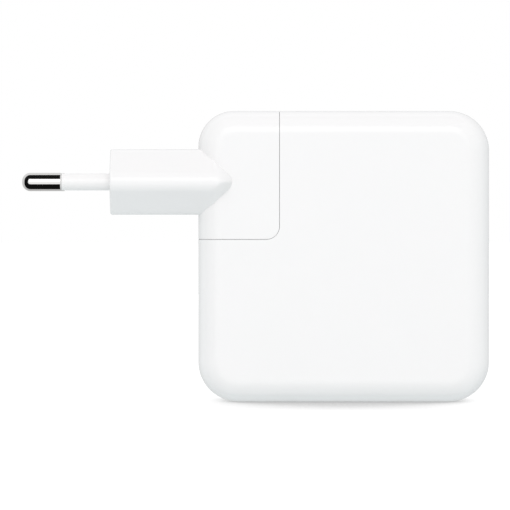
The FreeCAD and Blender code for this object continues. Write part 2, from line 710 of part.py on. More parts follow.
def hexagon(inset, x0, x1):
    """The barrel's six-sided section: two flats and four 45 degree slants, drawn along X."""
    half_height = BARREL_HEIGHT / 2 - inset
    ridge = BARREL_DEPTH_TO_SHARP_RIDGE / 2 - inset * math.sqrt(2)
    flat = ridge - half_height
    corners = [(-flat, half_height), (flat, half_height), (ridge, 0),
               (flat, -half_height), (-flat, -half_height), (-ridge, 0)]
    points = [V(x0, y, barrel_z + z) for y, z in corners]
    solid = Part.Face(Part.makePolygon(points + points[:1])).extrude(V(x1 - x0, 0, 0))
    ridges = edges_along(solid, V(1, 0, 0), lambda point: abs(abs(point.y) - ridge) < 1e-4)
    solid = solid.makeFillet(BARREL_RIDGE_RADIUS - inset, ridges)
    flats = edges_along(solid, V(1, 0, 0), lambda point: abs(abs(point.y) - flat) < 1e-4)
    if inset == 0:
        solid = solid.makeFillet(BARREL_FLAT_EDGE_RADIUS, flats)
    return solid


def ridge_end_apex(y):
    """Where the ridge's pointed end comes to a sharp point, at one depth."""
    rise = y - BODY_DEPTH / 2
    lean = math.tan(math.radians(RIDGE_END_DRAFT)) / math.sin(math.radians(RIDGE_END_HALF_ANGLE))
    return left + RIDGE_END_INBOARD - rise * lean


def ridge_end_wedge():
    """The wedge that the rear ridge ends in: two walls that meet in a point and lean in as they rise."""
    angle = math.radians(RIDGE_END_HALF_ANGLE)
    far_x = barrel_end - BARREL_REACH
    low_y = BODY_DEPTH / 4
    high_y = BARREL_DEPTH_TO_SHARP_RIDGE / 2
    triangles = []
    for y in (low_y, high_y):
        apex = ridge_end_apex(y)
        half = (apex - far_x) * math.tan(angle)
        triangles.append([V(apex, y, barrel_z), V(far_x, y, barrel_z + half), V(far_x, y, barrel_z - half)])
    low, high = triangles
    outlines = [low, high]
    for index in range(3):
        after = (index + 1) % 3
        outlines.append([low[index], low[after], high[after], high[index]])
    faces = [Part.Face(Part.makePolygon(outline + outline[:1])) for outline in outlines]
    wedge = Part.Solid(Part.Shell(faces))
    point = [edge for edge in wedge.Edges if edge.BoundBox.ZLength < 1e-4 and edge.BoundBox.XMax > left]
    lean = math.tan(math.radians(RIDGE_END_DRAFT))
    radii = []
    for vertex in point[0].Vertexes:
        rise = vertex.Point.y - BODY_DEPTH / 2
        radii.append(max(RIDGE_END_RADIUS - rise * lean, RIDGE_END_LEAST_RADIUS))
    return wedge.makeFillet(radii[0], radii[1], point)


def make_plug_shell():
    """The corner piece and its barrel, open towards the casing."""
    barrel = hexagon(0, barrel_end, left + RIDGE_END_INBOARD)
    barrel = barrel.makeFillet(BARREL_END_FILLET, edges_in_plane(barrel, 0, barrel_end))
    inner = box(barrel_end, left + HEAD_WALL, -BODY_DEPTH, BODY_DEPTH, seam_z, top)
    rear = ridge_end_wedge()
    mirrored = rear.mirror(V(0, 0, 0), V(0, 1, 0))
    barrel = joined(barrel.common(inner), barrel.common(rear), barrel.common(mirrored))
    corner = casing_form(0).common(recess_prism(0))
    cavity = casing_form(HEAD_WALL).common(recess_prism(0))
    bore = hexagon(BARREL_WALL, barrel_end + BARREL_END_WALL, left + HEAD_WALL + over)
    shell = joined(corner, barrel).cut(cavity).cut(bore)
    for y in pin_places.values():
        hole = rod(SLEEVE_RADIUS, BARREL_END_WALL + 2 * over, V(barrel_end - over, y, barrel_z), V(1, 0, 0))
        shell = shell.cut(hole)
    return shell


carrier_start = barrel_end + BARREL_END_WALL
carrier_stop = carrier_start + CARRIER_LENGTH
pin_stop = carrier_stop + PIN_FLANGE_THICKNESS


def make_pins():
    """Brass pins with a thin core under the sleeve, the sleeves, and the block that grips them."""
    tip = barrel_end - PIN_REACH
    bare = barrel_end - SLEEVE_REACH
    along = V(1, 0, 0)
    carrier = hexagon(BARREL_WALL, carrier_start, carrier_stop)
    pieces = {}
    for side, y in pin_places.items():
        blade = rod(PIN_RADIUS, bare - tip, V(tip, y, barrel_z), along)
        blade = blade.makeFillet(PIN_TIP_RADIUS, edges_in_plane(blade, 0, tip))
        core = rod(PIN_CORE_RADIUS, pin_stop - bare, V(bare, y, barrel_z), along)
        flange = rod(PIN_FLANGE_RADIUS, PIN_FLANGE_THICKNESS, V(carrier_stop, y, barrel_z), along)
        pieces["pin_" + side] = joined(blade, core, flange)
        pieces["pin_sleeve_" + side] = tube(SLEEVE_RADIUS, PIN_CORE_RADIUS, carrier_start - bare,
                                            V(bare, y, barrel_z), along)
        carrier = carrier.cut(core)
    pieces["pin_carrier"] = carrier
    return pieces


nose_tip = seam_z - NOSE_LENGTH
contact_outer = INLET_PIN_RADIUS + CONTACT_CLEARANCE + CONTACT_WALL
contact_top = seam_z + INNER_COVER_THICKNESS + CONTACT_RISE


def make_inner_cover():
    """The L-shaped cover of the head, with the nose below it and the stud's pocket behind it."""
    cavity = casing_form(HEAD_WALL).common(recess_prism(0))
    plate = cavity.cut(recess_prism(-INNER_COVER_THICKNESS))
    nose = figure_eight(-NOSE_CLEARANCE, nose_tip, seam_z + INNER_COVER_THICKNESS)

    slot_half = STUD_NECK_RADIUS + SLOT_CLEARANCE
    space_half = STUD_HEAD_RADIUS + SLOT_CLEARANCE
    clip_far = seam_x - INNER_COVER_THICKNESS
    clip_near = clip_far - CLIP_THICKNESS
    space_near = clip_near - CLIP_GAP - STUD_HEAD_THICKNESS - SLOT_CLEARANCE
    pocket_top = stud_z + space_half + POCKET_WALL
    clip_half = space_half + POCKET_WALL
    pocket = box(space_near - POCKET_WALL, clip_far, -clip_half - POCKET_WALL, clip_half + POCKET_WALL,
                 seam_z + INNER_COVER_THICKNESS, pocket_top + POCKET_WALL)
    clip_seat = box(clip_near, clip_far, -clip_half, clip_half, seam_z + INNER_COVER_THICKNESS, pocket_top)
    head_space = box(space_near, clip_near, -space_half, space_half, seam_z - over, stud_z)
    head_end = rod(space_half, clip_near - space_near, V(space_near, 0, stud_z), V(1, 0, 0))
    neck_space = box(clip_near - CLIP_GAP, seam_x + over, -slot_half, slot_half, seam_z - over, stud_z)
    neck_length = seam_x + over + CLIP_GAP - clip_near
    neck_end = rod(slot_half, neck_length, V(clip_near - CLIP_GAP, 0, stud_z), V(1, 0, 0))

    cover = joined(plate, nose, pocket)
    for space in (clip_seat, head_space, head_end, neck_space, neck_end):
        cover = cover.cut(space)
    clip = clip_seat.cut(neck_space).cut(neck_end)
    pieces = {"slide_clip": clip}
    for side, y in inlet_places.items():
        seat_bottom = nose_tip + NOSE_LIP
        seat = rod(contact_outer, contact_top - seat_bottom, V(inlet_x, y, seat_bottom), V(0, 0, 1))
        mouth = rod(INLET_PIN_RADIUS + NOSE_HOLE_CLEARANCE, NOSE_LIP + 2 * over,
                    V(inlet_x, y, nose_tip - over), V(0, 0, 1))
        cover = cover.cut(seat).cut(mouth)
        inner = rod(INLET_PIN_RADIUS + CONTACT_CLEARANCE, contact_top - seat_bottom,
                    V(inlet_x, y, seat_bottom), V(0, 0, 1))
        pieces["socket_contact_" + side] = seat.cut(inner)
    pieces["plug_inner_cover"] = cover
    return pieces


def make_straps():
    """Bus bars from the pins' inner ends to the tops of the socket contacts."""
    pieces = {}
    half = STRAP_WIDTH / 2
    for side, y in pin_places.items():
        sign = math.copysign(1, y)
        near = sign * STRAP_BESIDE_AXIS
        far = near + sign * STRAP_THICKNESS
        wing = y + sign * PIN_CORE_RADIUS
        tail = inlet_places[side] - sign * contact_outer
        y0, y1 = sorted((near, far))
        end_y0, end_y1 = sorted((near, wing))
        foot_y0, foot_y1 = sorted((tail, far))
        low_z, high_z = barrel_z - half, barrel_z + half
        low_x, high_x = inlet_x - half, inlet_x + half
        end_plate = box(pin_stop, pin_stop + STRAP_THICKNESS, end_y0, end_y1, low_z, high_z)
        run = box(pin_stop, high_x, y0, y1, low_z, high_z)
        drop = box(low_x, high_x, y0, y1, contact_top, low_z)
        foot = box(low_x, high_x, foot_y0, foot_y1, contact_top, contact_top + STRAP_THICKNESS)
        pieces["strap_" + side] = joined(end_plate, run, drop, foot)
    return pieces


def make_parts():
    """Every node of the adapter by its name."""
    nodes = {}
    for group in (
        make_covers(), make_inlet(), make_stud(), make_port(), make_transformer(), make_boards(),
        make_films_and_spreaders(), make_mains_side(), make_low_voltage_side(),
        {"plug_shell": make_plug_shell()}, make_pins(), make_inner_cover(), make_straps(),
    ):
        nodes.update(group)
    return nodes


os.makedirs("parts", exist_ok=True)
for name, shape in make_parts().items():
    shape.exportStep(os.path.join("parts", name + ".step"))
    print(name, len(shape.Solids), "solids", round(shape.Volume, 1), "mm3", shape.isValid())
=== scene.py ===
# A compact laptop power adapter: a white glossy casing with a plug head in its top left corner that slides
# up and off, two round mains pins, and an output socket in the right side. Lengths are written in
# millimetres and become metres where a mesh is made.

import math

import bmesh
import bpy
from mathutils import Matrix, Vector


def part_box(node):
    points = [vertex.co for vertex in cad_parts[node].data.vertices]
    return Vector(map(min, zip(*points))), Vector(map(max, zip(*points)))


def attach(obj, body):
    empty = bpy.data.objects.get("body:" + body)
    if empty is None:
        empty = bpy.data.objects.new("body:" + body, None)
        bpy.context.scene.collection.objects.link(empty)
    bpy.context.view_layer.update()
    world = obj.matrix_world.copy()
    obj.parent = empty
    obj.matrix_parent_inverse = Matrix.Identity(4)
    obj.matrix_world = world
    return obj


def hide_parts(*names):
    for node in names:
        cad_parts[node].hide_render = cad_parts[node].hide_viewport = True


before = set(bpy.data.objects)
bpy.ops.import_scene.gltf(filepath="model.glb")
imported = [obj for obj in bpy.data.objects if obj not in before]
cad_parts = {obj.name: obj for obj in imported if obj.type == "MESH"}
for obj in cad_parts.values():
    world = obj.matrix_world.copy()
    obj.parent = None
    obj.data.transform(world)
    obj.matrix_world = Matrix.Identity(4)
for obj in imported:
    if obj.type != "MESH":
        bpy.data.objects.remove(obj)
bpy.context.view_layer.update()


# Casing halves: two glossy white polycarbonate mouldings that meet on a lap joint round the middle plane.
# Their outer edges are rounded towards both big faces, and the top left corner is a recess for the plug
# head. Posts inside pinch the main board, and the openings are moulded in.

MM = 0.001
CASING_CORNER = 8.7
FACE_ROUND = 5.0
CASING_WALL = 2.0
RECESS_WALL = 1.8
RECESS_CORNER = 2.93
SEAM_GAP = 0.13
SEAM_ROUND = 0.05
SEAM_SHIFT = 0.04
SEAM_NARROWED = 0.05
PARTING_ROUND = 0.09
PARTING_GAP = 0.01
LAP_OUTSIDE = 0.7
LAP_INSIDE = 1.3
LAP_HEIGHT = 0.8
LAP_CLEARANCE = 0.1
FLAT_MARGIN = 0.35
CORNER_STEPS = 24
ROUND_STEPS = 18
RIM_STEPS = 4
SLOT_STEPS = 12
SEAT_STEPS = 16
TURNED_SIDES = 64
POST_SIDES = 36
ROUND_END = 0.9999
WELD = 1e-7
CREASE = math.radians(32)
PORT_ROUND = 0.25
PORT_GAP = 0.1
INLET_GAP = 0.04
INLET_RIM_ROUND = 0.1
INLET_PITCH = 8.6
INLET_FLANGE = 1.2
STUD_NECK = 2.0
STUD_HOLE_GAP = 0.04
POST_RADIUS = 1.6
POST_FROM_EDGE = 3.0
POST_BEHIND_PLATE = 4.5
WHITE_PLASTIC = (0.94, 0.94, 0.94, 1)
WHITE_PLASTIC_DEEP = (0.925, 0.928, 0.928, 1)
PLASTIC_IOR = 1.4
SKIN_SHARE = 0.2
WAVES_PER_CLOUD = 3


def millimetres(node):
    """Lowest and highest corner of a node in millimetres."""
    low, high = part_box(node)
    return low / MM, high / MM


casing_low, casing_high = millimetres("rear_cover")
casing_front = millimetres("front_cover")[0].y
left, right = casing_low.x, casing_high.x
top, back = casing_high.z, casing_high.y
inlet_low, inlet_high = millimetres("inlet_block")
recess_z = inlet_high.z
seam_z = recess_z + SEAM_GAP
seam_x = millimetres("plug_inner_cover")[1].x
recess_x = seam_x + SEAM_GAP
shell_low, shell_high = millimetres("usb_shell")
port_z = (shell_low.z + shell_high.z) / 2
port_half = (shell_high.z - shell_low.z) / 2
port_radius = (shell_high.y - shell_low.y) / 2
inlet_x = (inlet_low.x + inlet_high.x) / 2
inlet_radius = (inlet_high.x - inlet_low.x) / 2 - INLET_FLANGE
stud_low, stud_high = millimetres("lock_stud")
stud_z = (stud_low.z + stud_high.z) / 2
board_low, board_high = millimetres("main_board")
plate_high = millimetres("stud_plate")[1]
post_places = [
    (board_low.x + POST_FROM_EDGE, board_low.z + POST_FROM_EDGE),
    (board_high.x - POST_FROM_EDGE, board_low.z + POST_FROM_EDGE),
    (board_high.x - POST_FROM_EDGE, board_high.z - POST_FROM_EDGE),
    (plate_high.x + POST_BEHIND_PLATE, board_high.z - POST_FROM_EDGE),
]


def rounded_outline(corners):
    """Points round a closed outline. Each corner is its place, its radius, the steps of its arc, and how
    many more points lie on the straight line that follows it."""
    arcs = []
    count = len(corners)
    for index, (place, radius, steps, _) in enumerate(corners):
        here = Vector(place)
        before = (Vector(corners[index - 1][0]) - here).normalized()
        after = (Vector(corners[(index + 1) % count][0]) - here).normalized()
        half = before.angle(after) / 2
        centre = here + (before + after).normalized() * radius / math.sin(half)
        start = here + before * radius / math.tan(half) - centre
        stop = here + after * radius / math.tan(half) - centre
        sweep = math.pi - 2 * half
        arc = []
        for step in range(steps + 1):
            share = step / steps
            turn = start * math.sin((1 - share) * sweep) + stop * math.sin(share * sweep)
            arc.append(centre + turn / math.sin(sweep))
        arcs.append(arc)
    points = []
    for index, (arc, corner) in enumerate(zip(arcs, corners)):
        following = arcs[(index + 1) % count][0]
        points.extend(arc)
        for step in range(1, corner[3] + 1):
            points.append(arc[-1].lerp(following, step / (corner[3] + 1)))
    return points


def casing_outline(inset, recess_inset):
    """The casing's outline in the XZ plane, with the recess in its top left corner."""
    low_x, high_x = left + inset, right - inset
    low_z, high_z = inset, top - inset
    wall = recess_x - SEAM_SHIFT - SEAM_NARROWED + recess_inset
    floor = recess_z + SEAM_SHIFT + SEAM_NARROWED - recess_inset
    corner = CASING_CORNER - inset
    return rounded_outline([
        ((wall, high_z), SEAM_ROUND, RIM_STEPS, 0),
        ((high_x, high_z), corner, CORNER_STEPS, 0),
        ((high_x, low_z), corner, CORNER_STEPS, 0),
        ((low_x, low_z), corner, CORNER_STEPS, 0),
        ((low_x, floor), SEAM_ROUND, RIM_STEPS, 0),
        ((wall, floor), RECESS_CORNER + recess_inset, CORNER_STEPS, 0),
    ])


def quarter(radius, steps):
    """Steps of a quarter turn of a round edge: how far in it has come, and how far it still has to go."""
    turns = [math.pi / 2 * step / steps for step in range(steps + 1)]
    return [(radius * (1 - math.cos(turn)), radius * (1 - math.sin(turn))) for turn in turns]


def face_round(radius):
    """A casing edge's inset and its depth below the big face, with close steps where the seam rim turns."""
    steps = quarter(radius, ROUND_STEPS)
    for _, depth in quarter(SEAM_ROUND, RIM_STEPS)[:-1]:
        steps.append((radius - math.sqrt(radius ** 2 - (radius - depth) ** 2), depth))
    return sorted(steps)


def rim_inset(depth):
    """How far the small round rim along a seam has come in, at a depth below the big face."""
    if depth >= SEAM_ROUND:
        return 0.0
    return SEAM_ROUND - math.sqrt(SEAM_ROUND ** 2 - (SEAM_ROUND - depth) ** 2)


def ring_object(name, rings, closed=False):
    """A mesh through rings of equal length, given in millimetres, capped at both ends or closed on itself."""
    built = bmesh.new()
    loops = [[built.verts.new(Vector(point) * MM) for point in ring] for ring in rings]
    pairs = list(zip(loops, loops[1:]))
    if closed:
        pairs.append((loops[-1], loops[0]))
    for first, second in pairs:
        for index in range(len(first)):
            built.faces.new((first[index - 1], first[index], second[index], second[index - 1]))
    if not closed:
        built.faces.new(loops[0])
        built.faces.new(loops[-1])
    bmesh.ops.remove_doubles(built, verts=built.verts, dist=WELD)
    bmesh.ops.recalc_face_normals(built, faces=built.faces)
    mesh = bpy.data.meshes.new(name)
    built.to_mesh(mesh)
    built.free()
    piece = bpy.data.objects.new(name, mesh)
    bpy.context.scene.collection.objects.link(piece)
    return piece


def carve(piece, tool, operation="DIFFERENCE"):
    """Cuts a tool's shape out of a piece, or joins it on."""
    modifier = piece.modifiers.new("carve", "BOOLEAN")
    modifier.operation = operation
    modifier.solver = "EXACT"
    modifier.object = tool
    shaped = piece.evaluated_get(bpy.context.evaluated_depsgraph_get())
    mesh = bpy.data.meshes.new_from_object(shaped)
    piece.modifiers.clear()
    piece.data = mesh
    bpy.data.objects.remove(tool)


def slot_outline(half_length, radius, steps=SLOT_STEPS):
    """A slot with round ends, as pairs of across and along, its long side along the second. The two arcs
    of an end stay a hair's breadth apart."""
    round_end = radius * ROUND_END
    return rounded_outline([
        ((radius, half_length), round_end, steps, 0),
        ((radius, -half_length), round_end, steps, 0),
        ((-radius, -half_length), round_end, steps, 0),
        ((-radius, half_length), round_end, steps, 0),
    ])


def turned(name, profile, base, axis="X", closed=False, sides=TURNED_SIDES):
    """A piece turned about a line through base, from points of distance along it and radius."""
    rings = []
    for along, radius in profile:
        ring = []
        for side in range(sides):
            turn = 2 * math.pi * side / sides
            a, b = radius * math.cos(turn), radius * math.sin(turn)
            step = {"X": (along, a, b), "Y": (a, along, b), "Z": (a, b, along)}[axis]
            ring.append(Vector(base) + Vector(step))
        rings.append(ring)
    return ring_object(name, rings, closed)


def cover_rings(side):
    """Rings of one casing half: over the big face, down the outside, round the lap, and up the inside.
    Side is -1 for the front half and 1 for the rear."""
    face = -casing_front if side < 0 else back
    steps = [(FACE_ROUND + FLAT_MARGIN, SEAM_ROUND + FLAT_MARGIN, face)]
    for inset, depth in reversed(face_round(FACE_ROUND)):
        steps.append((inset, rim_inset(depth), face - depth))
    for inset, rest in quarter(PARTING_ROUND, RIM_STEPS):
        steps.append((inset, inset, PARTING_GAP + rest))
    play = 0 if side < 0 else LAP_CLEARANCE
    lap_y = -LAP_HEIGHT if side < 0 else LAP_HEIGHT + play
    for inset, y in ((LAP_OUTSIDE - play, PARTING_GAP), (LAP_OUTSIDE - play, lap_y),
                     (LAP_INSIDE + play, lap_y), (LAP_INSIDE + play, PARTING_GAP)):
        steps.append((inset, inset, y))
    steps.append((CASING_WALL, RECESS_WALL, PARTING_GAP))
    for inset, depth in quarter(FACE_ROUND - CASING_WALL, ROUND_STEPS):
        steps.append((CASING_WALL + inset, RECESS_WALL, face - CASING_WALL - depth))
    steps.append((FACE_ROUND + FLAT_MARGIN, RECESS_WALL + FLAT_MARGIN, face - CASING_WALL))
    rings = []
    for inset, recess_inset, y in steps:
        rings.append([(x, side * y, z) for x, z in casing_outline(inset, recess_inset)])
    return rings


def casing_openings():
    """What is cut out of both halves: the socket's mouth, the inlet's seat and the stud's hole."""
    flare = [(0, right - 2 * CASING_WALL)]
    for inset, rest in quarter(PORT_ROUND, RIM_STEPS):
        flare.append((inset, right - rest))
    flare.append((PORT_ROUND, right + CASING_WALL))
    mouth = []
    for grow, x in flare:
        outline = slot_outline(port_half + PORT_GAP + grow, port_radius + PORT_GAP + grow)
        mouth.append([(x, across, port_z + along) for across, along in outline])
    half_length = INLET_PITCH / 2 + inlet_radius + INLET_GAP
    seat = []
    for grow, z in ((0, recess_z - 2 * RECESS_WALL), (0, recess_z - INLET_RIM_ROUND),
                    (INLET_RIM_ROUND, recess_z), (INLET_RIM_ROUND, recess_z + RECESS_WALL)):
        outline = slot_outline(half_length + grow, inlet_radius + INLET_GAP + grow, SEAT_STEPS)
        seat.append([(inlet_x + across, along, z) for across, along in outline])
    hole = [(recess_x - RECESS_WALL, STUD_NECK + STUD_HOLE_GAP),
            (recess_x + 2 * RECESS_WALL, STUD_NECK + STUD_HOLE_GAP)]
    return [ring_object("mouth", mouth), ring_object("seat", seat),
            turned("hole", hole, (0, 0, stud_z), "X")]


class Wire:
    """An output of a node. Arithmetic on it adds Math nodes."""

    def __init__(self, nodes, socket):
        self.nodes = nodes
        self.socket = socket

    def math(self, operation, *values):
        """A Math node on this value and others."""
        return self.nodes.add("ShaderNodeMath", {"operation": operation}, dict(enumerate((self, *values))))

    def __add__(self, other):
        return self.math("ADD", other)

    def __sub__(self, other):
        return self.math("SUBTRACT", other)

    def __rsub__(self, other):
        return self * -1 + other

    def __mul__(self, other):
        return self.math("MULTIPLY", other)

    __radd__ = __add__
    __rmul__ = __mul__


class Nodes:
    """The node tree of a material or of the world."""

    def __init__(self, tree):
        self.tree = tree
        tree.nodes.clear()

    def add(self, kind, settings=None, sockets=None, output=0):
        """Adds a node, sets it up, then fills its sockets with values or links. Gives one output."""
        node = self.tree.nodes.new(kind)
        for name, value in (settings or {}).items():
            setattr(node, name, value)
        for name, value in (sockets or {}).items():
            if isinstance(value, Wire):
                self.tree.links.new(value.socket, node.inputs[name])
            else:
                node.inputs[name].default_value = value
        return Wire(self, node.outputs[output]) if node.outputs else None

    def place(self, stretch=(1, 1, 1)):
        """Where a point of the piece is, in metres, stretched along the axes."""
        spot = self.add("ShaderNodeTexCoord", {}, {}, "Object")
        return self.add("ShaderNodeVectorMath", {"operation": "MULTIPLY"}, {0: spot, 1: stretch})

    def noise(self, size, detail=2.0, stretch=(1, 1, 1)):
        """Soft noise with spots of about one size in millimetres, centred on 0.5."""
        sockets = {"Vector": self.place(stretch), "Scale": 1 / (size * MM), "Detail": detail}
        return self.add("ShaderNodeTexNoise", {}, sockets)

    def rise(self, value, start, stop):
        """0 up to start, 1 from stop on, and smooth between."""
        return self.add("ShaderNodeMapRange", {"interpolation_type": "SMOOTHSTEP"},
                        {"Value": value, "From Min": start, "From Max": stop})

    def mix(self, share, first, second):
        """A colour between two others."""
        return self.add("ShaderNodeMix", {"data_type": "RGBA"}, {0: share, 6: first, 7: second}, 2)

    def relief(self, height, depth):
        """A bump of one depth in millimetres from a height between 0 and 1."""
        return self.add("ShaderNodeBump", {}, {"Strength": 1.0, "Distance": depth * MM, "Height": height})


def finish(name, build):
    """A material whose shader's sockets come from build."""
    made = bpy.data.materials.new(name)
    made.use_nodes = True
    nodes = Nodes(made.node_tree)
    shader = nodes.add("ShaderNodeBsdfPrincipled", {}, build(nodes))
    nodes.add("ShaderNodeOutputMaterial", {}, {"Surface": shader})
    return made


def moulded(colour, deep, gloss, spread, cloud=9.0, skin=0.25, skin_depth=0.0004):
    """Moulded plastic: cloudy colour, uneven gloss, and a wavy skin with a fine grain in it."""
    def build(nodes):
        clouds = nodes.noise(cloud, detail=3)
        waves = nodes.noise(cloud / WAVES_PER_CLOUD) + nodes.noise(skin) * SKIN_SHARE
        return {
            "Base Color": nodes.mix(clouds, colour, deep),
            "Roughness": nodes.noise(cloud / 2, detail=4) * spread + (gloss - spread / 2),
            "IOR": PLASTIC_IOR,
            "Normal": nodes.relief(waves, skin_depth),
        }
    return build


white_plastic = finish("white_plastic", moulded(WHITE_PLASTIC, WHITE_PLASTIC_DEEP, gloss=0.16, spread=0.06,
                                                skin_depth=0.004))


def fit(piece, material, body, node):
    """Shades a new piece, puts it in the place of its node, and has it move with a body."""
    piece.data.shade_smooth()
    piece.data.set_sharp_from_angle(angle=CREASE)
    even = piece.modifiers.new("even_normals", "WEIGHTED_NORMAL")
    even.keep_sharp = True
    piece.data.materials.clear()
    piece.data.materials.append(material)
    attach(piece, body)
    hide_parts(node)


for end, side, board_side in (("front", -1, board_low.y), ("rear", 1, board_high.y)):
    cover = ring_object(end + "_casing_half", cover_rings(side))
    foot = (back - CASING_WALL / 2) * side
    for x, z in post_places:
        post = turned("post", [(foot, POST_RADIUS), (board_side, POST_RADIUS)], (x, 0, z), "Y",
                      sides=POST_SIDES)
        carve(cover, post, "UNION")
    for opening in casing_openings():
        carve(cover, opening)
    fit(cover, white_plastic, "adapter", end + "_cover")


# Plug head shell: a white polycarbonate moulding that fills the corner recess. Its flat six-sided barrel
# carries the mains pins. The barrel's two ridges stand proud of the big faces and run out on them in a
# point. The shell is open towards the casing, where the inner cover closes it.

HEAD_CORNER = 7.75
HEAD_WALL = 1.6
HEAD_INNER_CORNER = 2.8
RIDGE_RADIUS = 3.0
FLAT_EDGE_RADIUS = 2.4
BARREL_HEIGHT = 14.3
BARREL_WALL = 1.8
BARREL_END_WALL = 2.0
BARREL_END_ROUND = 0.45
BARREL_ROOT = 6.0
SHARP_RIDGE = 18.89
RIDGE_END_INBOARD = 8.53
RIDGE_END_ANGLE = math.radians(41.7)
RIDGE_END_DRAFT = math.radians(27)
RIDGE_END_TIP = 2.17
RIDGE_END_ROUND = 1.2
RIDGE_END_ROUND_SHARE = 0.6
RIDGE_END_STEPS = 14
BELOW_FACE = 0.6
RIDGE_STEPS = 24
SLANT_POINTS = 16
FLAT_EDGE_STEPS = 6
FLAT_POINTS = 6
PIN_HOLE_GAP = 0.03
barrel_end = millimetres("plug_shell")[0].x
pin_low, pin_high = millimetres("pin_front")
sleeve_low, sleeve_high = millimetres("pin_sleeve_front")
sleeve_radius = (sleeve_high.z - sleeve_low.z) / 2
barrel_z = (sleeve_low.z + sleeve_high.z) / 2
pin_y = (sleeve_low.y + sleeve_high.y) / 2
pin_places = {"front": (0, pin_y, barrel_z), "rear": (0, -pin_y, barrel_z)}


def head_outline(inset, seam_inset):
    """The plug head's outline in the XZ plane, between the two seams and the casing's outer sides."""
    wall, floor = seam_x - SEAM_SHIFT - seam_inset, seam_z + SEAM_SHIFT + seam_inset
    low_x, high_z = left + inset, top - inset
    return rounded_outline([
        ((wall, high_z), SEAM_ROUND, RIM_STEPS, 0),
        ((low_x, high_z), HEAD_CORNER - inset, CORNER_STEPS, 0),
        ((low_x, floor), SEAM_ROUND, RIM_STEPS, 0),
        ((wall, floor), HEAD_INNER_CORNER - seam_inset, CORNER_STEPS, 0),
    ])


def head_block(name, steps):
    """A closed block of the head's outline. Each step is its inset, its seam inset and its depth."""
    rings = []
    for inset, seam_inset, depth in steps:
        rings.append([(x, casing_front + depth, z) for x, z in head_outline(inset, seam_inset)])
    for inset, seam_inset, depth in reversed(steps):
        rings.append([(x, back - depth, z) for x, z in head_outline(inset, seam_inset)])
    return ring_object(name, rings)


def barrel_section(inset):
    """The barrel's six-sided section in the YZ plane, about its own middle."""
    half = BARREL_HEIGHT / 2 - inset
    ridge = SHARP_RIDGE - inset * math.sqrt(2)
    flat = ridge - half
    edge = max(FLAT_EDGE_RADIUS - inset, SEAM_ROUND)
    return rounded_outline([
        ((-flat, half), edge, FLAT_EDGE_STEPS, FLAT_POINTS),
        ((flat, half), edge, FLAT_EDGE_STEPS, SLANT_POINTS),
        ((ridge, 0), RIDGE_RADIUS - inset, RIDGE_STEPS, SLANT_POINTS),
        ((flat, -half), edge, FLAT_EDGE_STEPS, FLAT_POINTS),
        ((-flat, -half), edge, FLAT_EDGE_STEPS, SLANT_POINTS),
        ((-ridge, 0), RIDGE_RADIUS - inset, RIDGE_STEPS, SLANT_POINTS),
    ])


def ridge_end_x(rise, across):
    """Where the ridge's pointed end stands at a height over the big face and a distance off its middle."""
    apex = left + RIDGE_END_INBOARD
    lean = rise * math.tan(RIDGE_END_DRAFT)
    tip = RIDGE_END_TIP - lean
    if tip > 0 and abs(across) < tip * math.cos(RIDGE_END_ANGLE):
        return apex - RIDGE_END_TIP / math.sin(RIDGE_END_ANGLE) + math.sqrt(tip ** 2 - across ** 2)
    return apex - (lean + abs(across) * math.cos(RIDGE_END_ANGLE)) / math.sin(RIDGE_END_ANGLE)


def barrel_line(ends, y, across):
    """Points along one line of the barrel: over its end, along it, down the ridge's end, to its root."""
    side = math.copysign(1, y)
    z = barrel_z + across
    rise = abs(y) - back
    foot_rise = min(rise, 0) - BELOW_FACE
    corner = Vector((ridge_end_x(rise, across), y, z))
    foot = Vector((ridge_end_x(foot_rise, across), side * (back + foot_rise), z))
    before = corner - Vector((min(RIDGE_END_ROUND, (foot - corner).length), 0, 0))
    after = corner.lerp(foot, RIDGE_END_ROUND_SHARE)
    points = list(ends)
    for step in range(RIDGE_END_STEPS + 1):
        share = step / RIDGE_END_STEPS
        points.append(before.lerp(corner, share).lerp(corner.lerp(after, share), share))
    points.append(foot)
    points.append(Vector((left + BARREL_ROOT, side * min(abs(y), back - HEAD_WALL), z)))
    return points


def barrel_rings():
    """Rings across the barrel, worked out line by line because its ridges end in a point."""
    ends = []
    for inset, rest in reversed(quarter(BARREL_END_ROUND, RIM_STEPS)):
        ends.append([Vector((barrel_end + rest, y, barrel_z + z)) for y, z in barrel_section(inset)])
    lines = []
    for index, (y, across) in enumerate(barrel_section(0)):
        lines.append(barrel_line([ring[index] for ring in ends], y, across))
    return list(zip(*lines))


head_steps = [(FACE_ROUND + FLAT_MARGIN, SEAM_ROUND + FLAT_MARGIN, 0)]
for inset, depth in reversed(face_round(FACE_ROUND)):
    head_steps.append((inset, rim_inset(depth), depth))
hollow_steps = []
for inset, rest in reversed(quarter(FACE_ROUND - HEAD_WALL, ROUND_STEPS)):
    hollow_steps.append((HEAD_WALL + inset, HEAD_WALL + rest))
plug_shell = head_block("plug_head_shell", head_steps)
carve(plug_shell, ring_object("barrel", barrel_rings()), "UNION")
carve(plug_shell, head_block("hollow", [(inset, -HEAD_WALL, depth) for inset, depth in hollow_steps]))
bore = []
for x in (barrel_end + BARREL_END_WALL, left + 2 * HEAD_WALL):
    bore.append([(x, y, barrel_z + z) for y, z in barrel_section(BARREL_WALL)])
carve(plug_shell, ring_object("bore", bore))
for place in pin_places.values():
    sides = [(barrel_end - HEAD_WALL, sleeve_radius + PIN_HOLE_GAP),
             (barrel_end + 2 * BARREL_END_WALL, sleeve_radius + PIN_HOLE_GAP)]
    carve(plug_shell, turned("hole", sides, place))
fit(plug_shell, white_plastic, "plug_head", "plug_shell")


